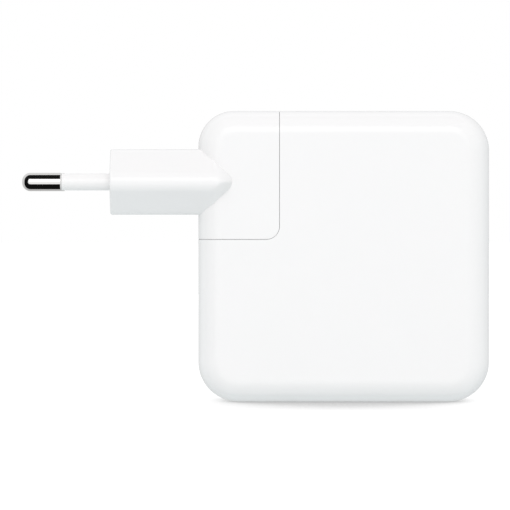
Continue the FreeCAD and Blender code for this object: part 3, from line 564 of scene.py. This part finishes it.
# Inner cover of the plug head: a white L-shaped plate that closes the shell towards the casing. Below it
# is the figure-eight nose that plugs into the inlet, and in its upright wall a slot for the locking stud,
# with a pocket behind the slot. The stud's head runs there behind a clip of spring steel.

COVER_PLATE = 1.6
NOSE_LOBE = 3.7
NOSE_WAIST = 2.5
NOSE_TIP_ROUND = 0.35
NOSE_LIP = 0.6
CONTACT_MOUTH = 1.35
CONTACT_MOUTH_ROUND = 0.3
SLOT_HALF = 2.3
SLOT_RIM_ROUND = 0.2
STUD_SPACE_HALF = 3.7
STUD_SPACE_DEPTH = 1.5
POCKET_WALL = 1.0
LOBE_STEPS = 20
BORE_SIDES = 48
cover_low = millimetres("plug_inner_cover")[0]
clip_low, clip_high = millimetres("slide_clip")
contact_low, contact_high = millimetres("socket_contact_front")
contact_outer = (contact_high.x - contact_low.x) / 2
lobe_y = INLET_PITCH / 2


def figure_eight(lobe, waist):
    """Two round lobes joined by a straight-sided waist, as pairs of across and along."""
    turn_back = math.acos(waist / lobe)
    points = []
    for end, start in ((1, 0), (-1, math.pi)):
        for step in range(LOBE_STEPS + 1):
            turn = start - turn_back + (math.pi + 2 * turn_back) * step / LOBE_STEPS
            points.append((lobe * math.cos(turn), end * lobe_y + lobe * math.sin(turn)))
    return points


def eight_object(name, steps):
    """A block of figure-eight section that stands on the inlet's axis, from steps of growth and height."""
    rings = []
    for lobe, waist, z in steps:
        rings.append([(inlet_x + across, along, z) for across, along in figure_eight(lobe, waist)])
    return ring_object(name, rings)


def block(name, low, high):
    """A square-edged block between two corners."""
    rings = []
    for z in (low[2], high[2]):
        rings.append([(low[0], low[1], z), (high[0], low[1], z), (high[0], high[1], z), (low[0], high[1], z)])
    return ring_object(name, rings)


def keyway(name, half, steps):
    """A slot that comes up from below and ends round at the stud's height. Steps are growth and X."""
    rings = []
    for grow, x in steps:
        reach = half + grow
        outline = rounded_outline([
            ((reach, stud_z + reach), reach * ROUND_END, SLOT_STEPS, 0),
            ((-reach, stud_z + reach), reach * ROUND_END, SLOT_STEPS, 0),
            ((-reach, seam_z - COVER_PLATE), SEAM_ROUND, 1, 0),
            ((reach, seam_z - COVER_PLATE), SEAM_ROUND, 1, 0),
        ])
        rings.append([(x, across, z) for across, z in outline])
    return ring_object(name, rings)


inner_cover = head_block("plug_head_inner_cover", [(inset, 0, depth) for inset, depth in hollow_steps])
carve(inner_cover, head_block("inside", [(0, COVER_PLATE, -COVER_PLATE), (0, COVER_PLATE, back)]))
nose = [(NOSE_LOBE, NOSE_WAIST, seam_z + COVER_PLATE)]
for inset, rest in quarter(NOSE_TIP_ROUND, RIM_STEPS):
    nose.append((NOSE_LOBE - inset, NOSE_WAIST - inset, cover_low.z + rest))
carve(inner_cover, eight_object("nose", nose), "UNION")
space_x = clip_low.x - STUD_SPACE_DEPTH
pocket_low = (space_x - POCKET_WALL, clip_low.y - POCKET_WALL, seam_z + COVER_PLATE / 2)
pocket_high = (seam_x - COVER_PLATE / 2, clip_high.y + POCKET_WALL, clip_high.z + POCKET_WALL)
carve(inner_cover, block("pocket", pocket_low, pocket_high), "UNION")
carve(inner_cover, block("clip_seat", clip_low, clip_high))
carve(inner_cover, keyway("head_way", STUD_SPACE_HALF, [(0, space_x), (0, clip_low.x + SEAM_ROUND)]))
rim = [(0, clip_low.x - SEAM_ROUND)]
for inset, rest in quarter(SLOT_RIM_ROUND, RIM_STEPS):
    rim.append((inset, seam_x - rest))
rim.append((SLOT_RIM_ROUND, seam_x + COVER_PLATE))
carve(inner_cover, keyway("neck_way", SLOT_HALF, rim))
for y in (-lobe_y, lobe_y):
    mouth = [(cover_low.z - NOSE_LIP, CONTACT_MOUTH + CONTACT_MOUTH_ROUND),
             (cover_low.z, CONTACT_MOUTH + CONTACT_MOUTH_ROUND),
             (cover_low.z + CONTACT_MOUTH_ROUND, CONTACT_MOUTH),
             (cover_low.z + NOSE_LIP, CONTACT_MOUTH),
             (cover_low.z + NOSE_LIP, contact_outer + PIN_HOLE_GAP),
             (contact_high.z, contact_outer + PIN_HOLE_GAP)]
    carve(inner_cover, turned("mouth", mouth, (inlet_x, y, 0), "Z", sides=BORE_SIDES))
fit(inner_cover, white_plastic, "plug_head", "plug_inner_cover")


# Slide clip and bus bars of the plug head: the clip is stamped from spring steel and pressed into the
# inner cover. Copper bars carry the current from the pins to sprung tubes in the nose.

STEEL = (0.72, 0.72, 0.73, 1)
STEEL_DULL = (0.62, 0.62, 0.63, 1)
COPPER = (0.78, 0.45, 0.30, 1)
COPPER_DULL = (0.66, 0.35, 0.22, 1)
WEAR_TONE = 0.8
METAL_CLOUD = 5.0


def metal(colour, dull, gloss, spread, stretch=(1, 1, 1), grain=0.4, grain_depth=0.0015):
    """Bare or plated metal: clouds of duller tone, uneven gloss, and fine marks stretched one way."""
    def build(nodes):
        clouds = nodes.noise(METAL_CLOUD, detail=4)
        marks = nodes.noise(grain, detail=3, stretch=stretch)
        return {
            "Base Color": nodes.mix(clouds * WEAR_TONE, colour, dull),
            "Metallic": 1.0,
            "Roughness": marks * spread + (gloss - spread / 2),
            "Normal": nodes.relief(marks, grain_depth),
        }
    return build


def dress(material, *names):
    """Gives nodes that keep their own shape a finish."""
    for name in names:
        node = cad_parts[name]
        node.data.materials.clear()
        node.data.materials.append(material)


steel = finish("steel", metal(STEEL, STEEL_DULL, gloss=0.32, spread=0.12, stretch=(1, 6, 1)))
copper = finish("copper", metal(COPPER, COPPER_DULL, gloss=0.36, spread=0.14, stretch=(4, 1, 1)))
dress(steel, "slide_clip")
dress(copper, "strap_front", "strap_rear", "socket_contact_front", "socket_contact_rear")


# Mains pins, their sleeves, and the carrier that grips them: each pin is turned brass, bright nickel
# plated. A pale moulded sleeve covers its inner half, a little thinner than the bare metal, and runs on
# into the barrel, where the carrier holds it.

PIN_RADIUS = 2.0
PIN_TIP_ROUND = 1.8
PIN_CORE = 1.5
PIN_FLANGE = 2.6
PIN_FLANGE_LENGTH = 1.2
PIN_BAND_ROUND = 0.3
SLEEVE_EDGE_ROUND = 0.06
FIT_GAP = 0.01
NICKEL = (0.88, 0.875, 0.865, 1)
NICKEL_DULL = (0.83, 0.825, 0.81, 1)
SLEEVE_PLASTIC = (0.945, 0.945, 0.945, 1)
SLEEVE_PLASTIC_DEEP = (0.93, 0.93, 0.925, 1)
PALE_PLASTIC = (0.80, 0.80, 0.79, 1)
PALE_PLASTIC_DEEP = (0.76, 0.76, 0.755, 1)

nickel = finish("nickel", metal(NICKEL, NICKEL_DULL, gloss=0.09, spread=0.04, stretch=(8, 1, 1),
                                grain=0.3, grain_depth=0.0002))
sleeve_plastic = finish("sleeve", moulded(SLEEVE_PLASTIC, SLEEVE_PLASTIC_DEEP, gloss=0.32, spread=0.1,
                                          cloud=4.0))
pale_plastic = finish("pale_plastic", moulded(PALE_PLASTIC, PALE_PLASTIC_DEEP, gloss=0.42, spread=0.12,
                                              cloud=6.0))
tip_x, stop_x = pin_low.x, pin_high.x
band_x = sleeve_low.x
for end, place in pin_places.items():
    profile = []
    for inset, rest in reversed(quarter(PIN_TIP_ROUND, ROUND_STEPS)):
        profile.append((tip_x + rest, PIN_RADIUS - inset))
    for inset, rest in quarter(PIN_BAND_ROUND, RIM_STEPS):
        profile.append((band_x - rest, PIN_RADIUS - inset))
    profile += [(band_x, PIN_CORE), (stop_x - PIN_FLANGE_LENGTH, PIN_CORE),
                (stop_x - PIN_FLANGE_LENGTH, PIN_FLANGE), (stop_x, PIN_FLANGE)]
    pin = turned(end + "_mains_pin", profile, place)
    fit(pin, nickel, "plug_head", "pin_" + end)
    profile = [(band_x + FIT_GAP, PIN_CORE + FIT_GAP)]
    for inset, rest in reversed(quarter(SLEEVE_EDGE_ROUND, RIM_STEPS)):
        profile.append((band_x + FIT_GAP + rest, sleeve_radius - inset))
    profile += [(sleeve_high.x, sleeve_radius), (sleeve_high.x, PIN_CORE + FIT_GAP)]
    sleeve = turned(end + "_pin_sleeve", profile, place, closed=True)
    fit(sleeve, sleeve_plastic, "plug_head", "pin_sleeve_" + end)
dress(pale_plastic, "pin_carrier")


# Inlet in the floor of the recess: a pale moulded block with a figure-eight cavity and two round nickel
# plated pins. Its flange bears on the recess floor from below, and copper strips lead from the pins to the
# main board.

INLET_LOBE = 4.0
INLET_WAIST = 2.8
INLET_DEPTH = 9.4
INLET_FLANGE_THICKNESS = 1.5
INLET_MOUTH_ROUND = 0.3
INLET_TOP_ROUND = 0.12
INLET_FOOT_ROUND = 0.4
INLET_PIN_ROUND = 0.6
inlet_pin_low, inlet_pin_high = millimetres("inlet_pin_front")
inlet_pin_radius = (inlet_pin_high.x - inlet_pin_low.x) / 2

flange_top = recess_z - RECESS_WALL
flange_bottom = flange_top - INLET_FLANGE_THICKNESS
steps = []
for inset, rest in reversed(quarter(INLET_FOOT_ROUND, RIM_STEPS)):
    steps.append((-inset, inlet_low.z + rest))
steps += [(0, flange_bottom), (INLET_FLANGE, flange_bottom), (INLET_FLANGE, flange_top), (0, flange_top)]
for inset, rest in quarter(INLET_TOP_ROUND, RIM_STEPS):
    steps.append((-inset, recess_z - rest))
rings = []
for grow, z in steps:
    outline = slot_outline(lobe_y + inlet_radius + grow, inlet_radius + grow, SEAT_STEPS)
    rings.append([(inlet_x + across, along, z) for across, along in outline])
inlet = ring_object("inlet", rings)
steps = [(INLET_LOBE - INLET_FOOT_ROUND, INLET_WAIST - INLET_FOOT_ROUND, recess_z - INLET_DEPTH),
         (INLET_LOBE, INLET_WAIST, recess_z - INLET_DEPTH + INLET_FOOT_ROUND)]
for inset, rest in quarter(INLET_MOUTH_ROUND, RIM_STEPS):
    steps.append((INLET_LOBE + inset, INLET_WAIST + inset, recess_z - rest))
steps.append((INLET_LOBE + INLET_MOUTH_ROUND, INLET_WAIST + INLET_MOUTH_ROUND, recess_z + RECESS_WALL))
carve(inlet, eight_object("cavity", steps))
for end, y in (("front", -lobe_y), ("rear", lobe_y)):
    sides = [(inlet_low.z - RECESS_WALL, inlet_pin_radius + FIT_GAP),
             (recess_z - INLET_DEPTH / 2, inlet_pin_radius + FIT_GAP)]
    carve(inlet, turned("hole", sides, (inlet_x, y, 0), "Z", sides=BORE_SIDES))
    profile = [(inlet_pin_low.z, inlet_pin_radius)]
    for inset, rest in quarter(INLET_PIN_ROUND, RIM_STEPS * 2):
        profile.append((inlet_pin_high.z - rest, inlet_pin_radius - inset))
    pin = turned(end + "_inlet_pin", profile, (inlet_x, y, 0), "Z", sides=BORE_SIDES)
    fit(pin, nickel, "adapter", "inlet_pin_" + end)
fit(inlet, pale_plastic, "adapter", "inlet_block")
dress(copper, "inlet_lead_front", "inlet_lead_rear")


# Locking stud: a mushroom of turned steel through the recess wall, riveted to a plate behind it. The plug
# head's slot slides down over it.

STUD_HEAD = 3.4
STUD_HEAD_THICKNESS = 1.0
STUD_EDGE = 0.4
STUD_INNER_EDGE = 0.08
STUD_DIMPLE = 0.9
STUD_DIMPLE_DEPTH = 0.15

turned_steel = finish("turned_steel", metal(STEEL, STEEL_DULL, gloss=0.24, spread=0.08,
                                            grain=0.15, grain_depth=0.0006))
profile = [(stud_low.x + STUD_DIMPLE_DEPTH, STUD_DIMPLE - STUD_EDGE),
           (stud_low.x + STUD_DIMPLE_DEPTH / 2, STUD_DIMPLE),
           (stud_low.x, STUD_DIMPLE + STUD_EDGE)]
for inset, rest in reversed(quarter(STUD_EDGE, RIM_STEPS * 2)):
    profile.append((stud_low.x + rest, STUD_HEAD - inset))
for inset, rest in quarter(STUD_INNER_EDGE, RIM_STEPS // 2):
    profile.append((stud_low.x + STUD_HEAD_THICKNESS - rest, STUD_HEAD - inset))
profile += [(stud_low.x + STUD_HEAD_THICKNESS, STUD_NECK), (stud_high.x, STUD_NECK)]
stud = turned("locking_stud", profile, (0, 0, stud_z))
fit(stud, turned_steel, "adapter", "lock_stud")
dress(steel, "stud_plate")


# Output socket: a drawn steel shell with rounded mouth, a dark tongue inside it, and gold contacts on both
# faces of the tongue. It sits on its own small board, on two moulded supports.

PORT_WALL = 0.3
PORT_LIP = 0.12
GOLD = (0.85, 0.68, 0.32, 1)
GOLD_DULL = (0.78, 0.60, 0.27, 1)
DARK_PLASTIC = (0.040, 0.040, 0.045, 1)
DARK_PLASTIC_DEEP = (0.028, 0.028, 0.032, 1)

gold = finish("gold", metal(GOLD, GOLD_DULL, gloss=0.22, spread=0.08, stretch=(5, 1, 1),
                            grain=0.2, grain_depth=0.0003))
dark_plastic = finish("dark_plastic", moulded(DARK_PLASTIC, DARK_PLASTIC_DEEP, gloss=0.5, spread=0.15,
                                              cloud=4.0))
shell_steel = finish("shell_steel", metal(STEEL, STEEL_DULL, gloss=0.28, spread=0.1, stretch=(6, 1, 1)))
steps = [(0, shell_low.x)]
for inset, rest in quarter(PORT_LIP, RIM_STEPS):
    steps.append((inset, shell_high.x - rest))
for inset, rest in reversed(quarter(PORT_LIP, RIM_STEPS)):
    steps.append((PORT_WALL - inset, shell_high.x - rest))
steps.append((PORT_WALL, shell_low.x + PORT_WALL))
rings = []
for inset, x in steps:
    outline = slot_outline(port_half - inset, port_radius - inset)
    rings.append([(x, across, port_z + along) for across, along in outline])
socket_shell = ring_object("socket_shell", rings)
fit(socket_shell, shell_steel, "adapter", "usb_shell")
dress(dark_plastic, "usb_tongue", "usb_support")
dress(gold, "usb_contacts")


# Boards: glass-filled epoxy under green solder mask, with copper tracks that show through it as a lighter
# green. A pin header joins the two boards.

MASK = (0.05, 0.25, 0.14, 1)
MASK_DEEP = (0.035, 0.19, 0.10, 1)
TRACK = (0.09, 0.36, 0.19, 1)
TRACK_SIZE = 3.0
TRACK_START = 0.62
TRACK_EDGE = 0.04
TRACK_HEIGHT = 0.03
TRACK_UNEVENNESS = 0.8
MASK_CLOUD = 2.0
MASK_GLOSS = 0.27
MASK_SPREAD = 0.15
BRASS = (0.80, 0.66, 0.36, 1)
BRASS_DULL = (0.68, 0.54, 0.27, 1)


def circuit_board(nodes):
    """Solder mask over tracks."""
    cells = nodes.add("ShaderNodeTexVoronoi", {"distance": "CHEBYCHEV", "feature": "F2"},
                      {"Vector": nodes.place(), "Scale": 1 / (TRACK_SIZE * MM),
                       "Randomness": TRACK_UNEVENNESS})
    raised = nodes.rise(cells, TRACK_START, TRACK_START + TRACK_EDGE)
    return {
        "Base Color": nodes.mix(raised, nodes.mix(nodes.noise(MASK_CLOUD), MASK, MASK_DEEP), TRACK),
        "Roughness": nodes.noise(MASK_CLOUD / 2, detail=4) * MASK_SPREAD + MASK_GLOSS,
        "Normal": nodes.relief(raised, TRACK_HEIGHT),
    }


board_finish = finish("board", circuit_board)
brass = finish("brass", metal(BRASS, BRASS_DULL, gloss=0.3, spread=0.1))
dress(board_finish, "main_board", "usb_board")
dress(brass, "header_pins")
dress(dark_plastic, "header_block")


# Components on the mains side: a cased fuse, two blue epoxy-dipped discs on wire leads, a boxed film
# capacitor, a ring choke wound with copper, and a bridge rectifier in black epoxy.

BLUE_COATING = (0.10, 0.28, 0.60, 1)
BLUE_COATING_DEEP = (0.07, 0.22, 0.50, 1)
YELLOW_PLASTIC = (0.85, 0.66, 0.20, 1)
YELLOW_PLASTIC_DEEP = (0.78, 0.58, 0.15, 1)
FERRITE = (0.12, 0.12, 0.13, 1)
FERRITE_SPECK = (0.20, 0.20, 0.21, 1)
SPECK_SIZE = 0.2
SPECK_START = 0.62
SPECK_STOP = 0.72
GROUND_CLOUD = 2.0
GROUND_GLOSS = 0.5
GROUND_SPREAD = 0.2
GROUND_GRAIN = 0.3
GROUND_DEPTH = 0.02
WIRE_PITCH = 0.9
WIRE_UNEVENNESS = 0.4
WIRE_DEPTH = 0.12
WIRE_METAL = 0.9
WIRE_CLOUD = 1.0
WIRE_GLOSS = 0.28
WIRE_SPREAD = 0.1


def wound(nodes):
    """Enamelled copper wire laid side by side."""
    bands = nodes.add("ShaderNodeTexWave", {"wave_type": "RINGS", "rings_direction": "SPHERICAL"},
                      {"Vector": nodes.place(), "Scale": 1 / (WIRE_PITCH * MM),
                       "Distortion": WIRE_UNEVENNESS})
    return {
        "Base Color": nodes.mix(bands, COPPER_DULL, COPPER),
        "Metallic": WIRE_METAL,
        "Roughness": nodes.noise(WIRE_CLOUD) * WIRE_SPREAD + WIRE_GLOSS,
        "Normal": nodes.relief(bands, WIRE_DEPTH),
    }


def sintered(nodes):
    """Ground ferrite: dull, with fine bright specks."""
    specks = nodes.rise(nodes.noise(SPECK_SIZE, detail=3), SPECK_START, SPECK_STOP)
    return {
        "Base Color": nodes.mix(specks, FERRITE, FERRITE_SPECK),
        "Roughness": nodes.noise(GROUND_CLOUD) * GROUND_SPREAD + GROUND_GLOSS,
        "Normal": nodes.relief(nodes.noise(GROUND_GRAIN, detail=4), GROUND_DEPTH),
    }


blue_coating = finish("blue_coating", moulded(BLUE_COATING, BLUE_COATING_DEEP, gloss=0.25, spread=0.1,
                                              cloud=2.0, skin_depth=0.03))
yellow_plastic = finish("yellow_plastic", moulded(YELLOW_PLASTIC, YELLOW_PLASTIC_DEEP, gloss=0.4,
                                                  spread=0.1, cloud=4.0))
windings = finish("windings", wound)
ferrite = finish("ferrite", sintered)
dress(dark_plastic, "fuse", "bridge_rectifier")
dress(blue_coating, "varistor", "y_capacitor")
dress(yellow_plastic, "x_capacitor")
dress(ferrite, "choke_core")
dress(windings, "choke_windings")


# Storage capacitors and transformer: two aluminium cans in printed sleeves, and two ground ferrite halves
# that meet in a black bobbin with its winding under yellow tape. A soft pad leads the heat away.

CAN = (0.30, 0.31, 0.34, 1)
CAN_DULL = (0.24, 0.25, 0.28, 1)
HEAT_PAD = (0.55, 0.60, 0.66, 1)
HEAT_PAD_DEEP = (0.48, 0.53, 0.60, 1)

can_sleeve = finish("can", metal(CAN, CAN_DULL, gloss=0.4, spread=0.12, stretch=(1, 4, 1)))
heat_pad = finish("heat_pad", moulded(HEAT_PAD, HEAT_PAD_DEEP, gloss=0.8, spread=0.1, cloud=3.0,
                                      skin_depth=0.04))
dress(can_sleeve, "bulk_capacitor_left", "bulk_capacitor_right", "output_capacitors")
dress(ferrite, "transformer_core_lower", "transformer_core_upper", "output_inductor")
dress(dark_plastic, "transformer_bobbin")
dress(windings, "transformer_winding")
dress(yellow_plastic, "transformer_tape")
dress(heat_pad, "transformer_pad", "chip_pads")


# Chips, heat spreaders and films: black epoxy packages, rolled aluminium plates against both big faces,
# and clear amber film between the plates and the casing.

ALUMINIUM = (0.78, 0.79, 0.80, 1)
ALUMINIUM_DULL = (0.70, 0.71, 0.72, 1)
FILM = (0.90, 0.85, 0.60, 1)
FILM_DEEP = (0.86, 0.80, 0.52, 1)

aluminium = finish("aluminium", metal(ALUMINIUM, ALUMINIUM_DULL, gloss=0.36, spread=0.14,
                                      stretch=(1, 1, 8)))
film = finish("film", moulded(FILM, FILM_DEEP, gloss=0.22, spread=0.08, cloud=8.0))
dress(dark_plastic, "power_stage", "sync_rectifier", "pd_controller", "optocoupler")
dress(aluminium, "front_spreader", "rear_spreader")
dress(film, "front_film", "rear_film")


# Studio: a plain pale floor that glows white in a white surround, with a painted shade close to the adapter,
# a large soft lamp high in front and a weaker one behind.
# Reflections see neither lamp. They see a bright strip high in front, a window round the camera, pale walls
# behind and on the right, and dark flags between them.

CAMERA_PLACE = (-19.39, -1000, 46)
CAMERA_PITCH = math.radians(0.807)
CAMERA_LENS = 320
CAMERA_SENSOR = 36
LAMP_DISTANCE = 1000
LAMP_RISE = math.radians(35)
LAMP_TURN = math.radians(5)
LAMP_WIDTH = 600
LAMP_HEIGHT = 500
LAMP_WATTS = 3.15
LAMP_COLOUR = (1.0, 0.945, 0.948)
LAMP_AIM = (0, 0, 32)
BACK_LAMP_RISE = math.radians(10)
BACK_LAMP_TURN = math.radians(180)
BACK_LAMP_WATTS = 1.6
AMBIENT = (0.562, 0.505, 0.465, 1)
AMBIENT_ABOVE = (0.800, 0.818, 0.832, 1)
AMBIENT_SIDES = 0.55
BACKGROUND = (1, 1, 1, 1)
WINDOW = (1, 1, 1, 1)
BEHIND_BELOW = (0.5, 0.5, 0.5, 1)
BEHIND_ABOVE = (0.82, 0.82, 0.82, 1)
FLAG = (0.006, 0.006, 0.006, 1)
WINDOW_START = 0.83
WINDOW_STOP = 0.89
WINDOW_TILT = 0.05
STRIP = (2.3, 2.27, 2.27, 1)
STRIP_LOW = (0.10, 0.16)
STRIP_HIGH = (0.53, 0.63)
STRIP_SIDE = (0.25, 0.33)
RIGHT_WALL = (0.9, 0.9, 0.9, 1)
RIGHT_WALL_START = 0.25
RIGHT_WALL_STOP = 0.5
BEHIND_START = -0.02
BEHIND_STOP = 0.04
BEHIND_LEAN = 0.215
BEHIND_TILT = 0.045
FLOOR_SIZE = 6000
FLOOR = (0.30, 0.335, 0.355, 1)
# Painted bounce light: the floor glows evenly for every ray but the camera's, and no shadow dims that glow.
FLOOR_BOUNCE_GLOW = (0.520, 0.525, 0.514, 1)
FLOOR_SEEN = (0.22, 0.22, 0.22, 1)
FLOOR_GLOW = (0.88, 0.88, 0.88, 1)
FULL_SHADE = (0, 0, 0, 1)
# Painted shade on the floor: how far from the adapter, and how deeply, the glow the camera sees is dimmed.
SHADE_REACH = 60
SHADE_LEAN = (0.5, 0.86, 0.0)
SHADE_SAMPLES = 16
SHADE_START = 0.4
SHADE_STOP = 0.9
SHADE_LEAST = 0.18

lens = bpy.data.cameras.new("camera")
lens.lens = CAMERA_LENS
lens.sensor_width = CAMERA_SENSOR
camera = bpy.data.objects.new("camera", lens)
camera.location = Vector(CAMERA_PLACE) * MM
camera.rotation_euler = (math.pi / 2 - CAMERA_PITCH, 0, 0)
bpy.context.scene.collection.objects.link(camera)
bpy.context.scene.camera = camera

for name, rise, turn, watts in (("front_softbox", LAMP_RISE, LAMP_TURN, LAMP_WATTS),
                                ("back_softbox", BACK_LAMP_RISE, BACK_LAMP_TURN, BACK_LAMP_WATTS)):
    softbox = bpy.data.lights.new(name, "AREA")
    softbox.shape = "RECTANGLE"
    softbox.size = LAMP_WIDTH * MM
    softbox.size_y = LAMP_HEIGHT * MM
    softbox.energy = watts
    softbox.color = LAMP_COLOUR
    lamp = bpy.data.objects.new(name, softbox)
    flat = math.cos(rise)
    reach = Vector((-flat * math.sin(turn), -flat * math.cos(turn), math.sin(rise)))
    lamp.location = (Vector(LAMP_AIM) + reach * LAMP_DISTANCE) * MM
    lamp.rotation_euler = (math.pi / 2 - rise, 0, -turn)
    lamp.visible_glossy = False
    bpy.context.scene.collection.objects.link(lamp)

world = bpy.data.worlds.new("studio")
bpy.context.scene.world = world
world.use_nodes = True
nodes = Nodes(world.node_tree)
direction = nodes.add("ShaderNodeTexCoord", {}, {}, "Generated")
across = nodes.add("ShaderNodeSeparateXYZ", {}, {"Vector": direction}, "X")
away = nodes.add("ShaderNodeSeparateXYZ", {}, {"Vector": direction}, "Y")
up = nodes.add("ShaderNodeSeparateXYZ", {}, {"Vector": direction}, "Z")
sideways = across.math("ABSOLUTE")
window = nodes.rise(up * WINDOW_TILT - away, WINDOW_START, WINDOW_STOP)
strip_above = nodes.rise(up, *STRIP_LOW) * (1 - nodes.rise(up, *STRIP_HIGH))
strip = strip_above * (1 - nodes.rise(sideways, *STRIP_SIDE))
on_right = nodes.rise(across, RIGHT_WALL_START, RIGHT_WALL_STOP)
lean = up.math("ABSOLUTE") * BEHIND_LEAN - up * BEHIND_TILT
behind = nodes.rise(away - lean, BEHIND_START, BEHIND_STOP)
wall = nodes.mix(up * 0.5 + 0.5, BEHIND_BELOW, BEHIND_ABOVE)
lit_front = nodes.mix(strip, nodes.mix(window, FLAG, WINDOW), STRIP)
mirrored = nodes.mix(behind, nodes.mix(on_right, lit_front, RIGHT_WALL), wall)
sky = nodes.mix(up.math("MAXIMUM", 0) + sideways * AMBIENT_SIDES, AMBIENT, AMBIENT_ABOVE)
glossy = nodes.add("ShaderNodeLightPath", {}, {}, "Is Glossy Ray")
seen = nodes.add("ShaderNodeLightPath", {}, {}, "Is Camera Ray")
through = nodes.add("ShaderNodeLightPath", {}, {}, "Is Transmission Ray")
surround = nodes.mix(seen.math("MAXIMUM", through), nodes.mix(glossy, sky, mirrored), BACKGROUND)
backdrop = nodes.add("ShaderNodeBackground", {}, {"Color": surround, "Strength": 1.0})
nodes.add("ShaderNodeOutputWorld", {}, {"Surface": backdrop})

corners = [(-FLOOR_SIZE / 2, -FLOOR_SIZE / 2, 0), (FLOOR_SIZE / 2, -FLOOR_SIZE / 2, 0),
           (FLOOR_SIZE / 2, FLOOR_SIZE / 2, 0), (-FLOOR_SIZE / 2, FLOOR_SIZE / 2, 0)]
mesh = bpy.data.meshes.new("floor")
mesh.from_pydata([Vector(corner) * MM for corner in corners], [], [(0, 1, 2, 3)])
floor = bpy.data.objects.new("floor", mesh)
bpy.context.scene.collection.objects.link(floor)
floor.visible_glossy = False


def paper(nodes):
    """Pale paper that the camera sees as a white glow, with a painted shade close to the adapter: the glow
    itself is dimmed there. Two views of the open air lean towards the adapter, one to each side, and the more
    open one counts, so that the painted shade ends at the adapter's corners. To all other rays the paper
    glows evenly, painted light that stands in for light bounced off the floor."""
    seen = nodes.add("ShaderNodeLightPath", {}, {}, "Is Camera Ray")
    x, y, z = SHADE_LEAN
    open_air = []
    for side in (-1, 1):
        lean = nodes.add("ShaderNodeCombineXYZ", {}, {"X": x * side, "Y": y, "Z": z})
        open_air.append(nodes.add("ShaderNodeAmbientOcclusion", {"samples": SHADE_SAMPLES},
                                  {"Distance": SHADE_REACH * MM, "Normal": lean}, "AO"))
    openest = open_air[0].math("MAXIMUM", open_air[1])
    # Painted shade: the camera's glow is dimmed where the floor finds little open air near the adapter.
    lit = nodes.rise(openest, SHADE_START, SHADE_STOP) * (1 - SHADE_LEAST) + SHADE_LEAST
    # The glow is the camera's painted white with its painted shade, and for other rays an even painted bounce
    # light.
    glow = nodes.mix(seen, FLOOR_BOUNCE_GLOW, nodes.mix(lit, FULL_SHADE, FLOOR_GLOW))
    return {
        "Base Color": nodes.mix(seen, FLOOR, FLOOR_SEEN),
        "Roughness": 1.0,
        "Specular IOR Level": 0.0,
        "Emission Color": glow,
        "Emission Strength": 1.0,
    }


mesh.materials.append(finish("floor", paper))
bpy.context.scene.view_settings.view_transform = "Standard"
